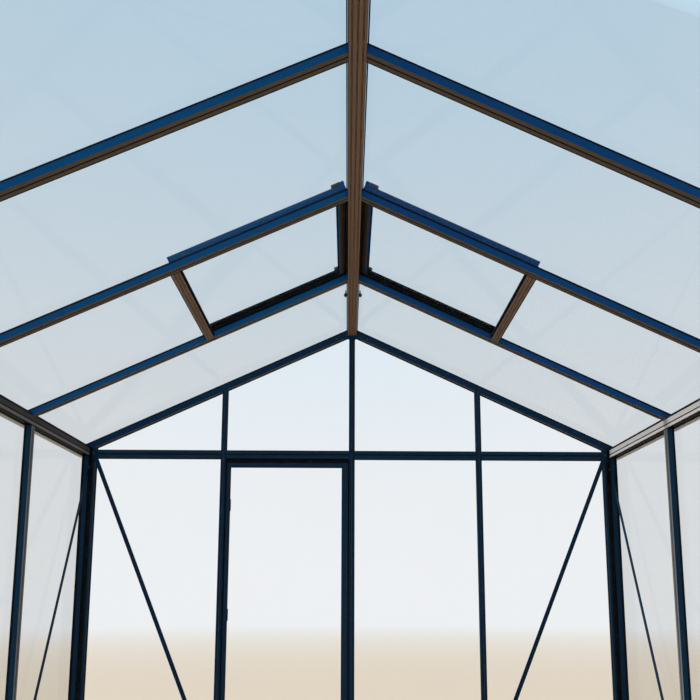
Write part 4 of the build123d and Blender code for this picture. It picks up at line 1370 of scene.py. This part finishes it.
@dataclass(frozen=True)
class Studio:
    """Pale floor, plain soft light, background and the camera of the photograph."""

    sky: Colour = (0.56, 0.77, 0.94)
    horizon: Colour = (0.88, 0.90, 0.92)
    skylight: Colour = (0.80, 0.93, 1.12)
    floor: Colour = (0.78, 0.65, 0.49)
    fill: float = 0.52
    key: float = 2.5
    key_from: Triple = (0.68, -0.10, 0.72)
    key_colour: Colour = (1.0, 0.96, 0.90)
    key_spread: float = radians(20)
    floor_radius: float = 60.0
    floor_fade: Place = (6.0, 26.0)
    camera_at: Triple = (0.0244, 1.8511, 1.0187)
    focal: float = 716.0
    frame_width: float = 700.0
    middle: Place = (364.9, 490.0)
    yaw: float = radians(1.41)
    pitch: float = radians(8.42)
    sensor: float = 36.0
    clip: Place = (0.01, 200.0)

    def build(self) -> None:
        """Set up the whole studio."""
        self.world()
        self.ground()
        self.lamp()
        self.camera()
        bpy.context.scene.view_settings.view_transform = "Standard"

    def seen(self, bench: ShaderBench) -> Signal:
        """Tell what the camera sees, directly, in a reflection or through glass.

        Args:
            bench: Tree of the material or the world.

        Returns:
            1 for what is seen.
        """
        path = bench.node("ShaderNodeLightPath")
        camera, glossy, through = (bench.signal(path, f"Is {kind} Ray")
                                   for kind in ("Camera", "Glossy", "Transmission"))
        return camera.at_least(glossy).at_least(through)

    def place(self, name: str, data: Any) -> bpy.types.Object:
        """Put a mesh, lamp or camera into the scene.

        Args:
            name: Name of the object.
            data: What it shows.

        Returns:
            The object.
        """
        thing = bpy.data.objects.new(name, data)
        bpy.context.scene.collection.objects.link(thing)
        return thing

    def world(self) -> None:
        """Even light from all round, with a pale sky where it is seen."""
        world = bpy.data.worlds.new("studio")
        bpy.context.scene.world = world
        bench = ShaderBench(world)
        light = bench.node("ShaderNodeBackground", None, {"Color": self.skylight, "Strength": self.fill})
        height = bench.signal(bench.split(bench.coordinates("Generated")), 2)
        colour = bench.mix(height.step(0.02, 0.8), self.horizon, self.sky)
        shown = bench.node("ShaderNodeBackground", None, {"Color": colour, "Strength": 1.0})
        mixed = bench.node("ShaderNodeMixShader", None, {
            0: self.seen(bench), 1: light.outputs[0], 2: shown.outputs[0]})
        bench.end(mixed, "ShaderNodeOutputWorld")

    def ground(self) -> None:
        """Floor that runs out into the background."""
        material, bench = new_bench("studio_floor")
        here = bench.place()
        far = bench.signal(bench.vector("LENGTH", here), "Value").step(*self.floor_fade)
        cloud = bench.noise(here, Pattern(1.3, 3.0))
        colour = bench.mix(cloud * 0.08, self.floor, tuple(0.9 * value for value in self.floor))
        shown = bench.node("ShaderNodeEmission", None, {"Color": self.horizon, "Strength": 1.0})
        bench.end(bench.node("ShaderNodeMixShader", None, {
            0: far * self.seen(bench), 1: bench.surface(Base_Color=colour, Roughness=0.9).outputs[0],
            2: shown.outputs[0]}))
        work = bmesh.new()
        bmesh.ops.create_circle(work, cap_ends=True, segments=96, radius=self.floor_radius)
        mesh = bpy.data.meshes.new("studio_floor")
        work.to_mesh(mesh)
        work.free()
        mesh.materials.append(material)
        floor = self.place("studio_floor", mesh)

    def lamp(self) -> None:
        """One broad soft lamp, high on the side of the door's hinges."""
        data = bpy.data.lights.new("key", "SUN")
        data.energy = self.key
        data.angle = self.key_spread
        data.color = self.key_colour
        self.place("key", data).rotation_euler = Vector(self.key_from).to_track_quat("Z", "Y").to_euler()

    def camera(self) -> None:
        """Camera of the photograph, just inside the rear gable."""
        data = bpy.data.cameras.new("camera")
        data.sensor_width = self.sensor
        data.lens = self.focal * self.sensor / self.frame_width
        data.shift_x = (self.frame_width / 2 - self.middle[0]) / self.frame_width
        data.shift_y = (self.middle[1] - self.frame_width / 2) / self.frame_width
        data.clip_start, data.clip_end = self.clip
        camera = self.place("camera", data)
        ahead = Vector((-sin(self.yaw) * cos(self.pitch), -cos(self.yaw) * cos(self.pitch), sin(self.pitch)))
        camera.location = self.camera_at
        camera.rotation_euler = ahead.to_track_quat("-Z", "Y").to_euler()
        bpy.context.scene.camera = camera


def main() -> None:
    """Dress the frame, add the fittings and set up the studio."""
    logging.basicConfig(level=logging.INFO, format="%(name)s: %(message)s")
    for name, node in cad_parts.items():
        dress(name, node)
    for group in (GlazingSeals, SlotStrips, RoofFittings, WallFittings, GutterFittings, DoorFittings):
        group().build()
    Studio().build()


if __name__ == "__main__":
    main()
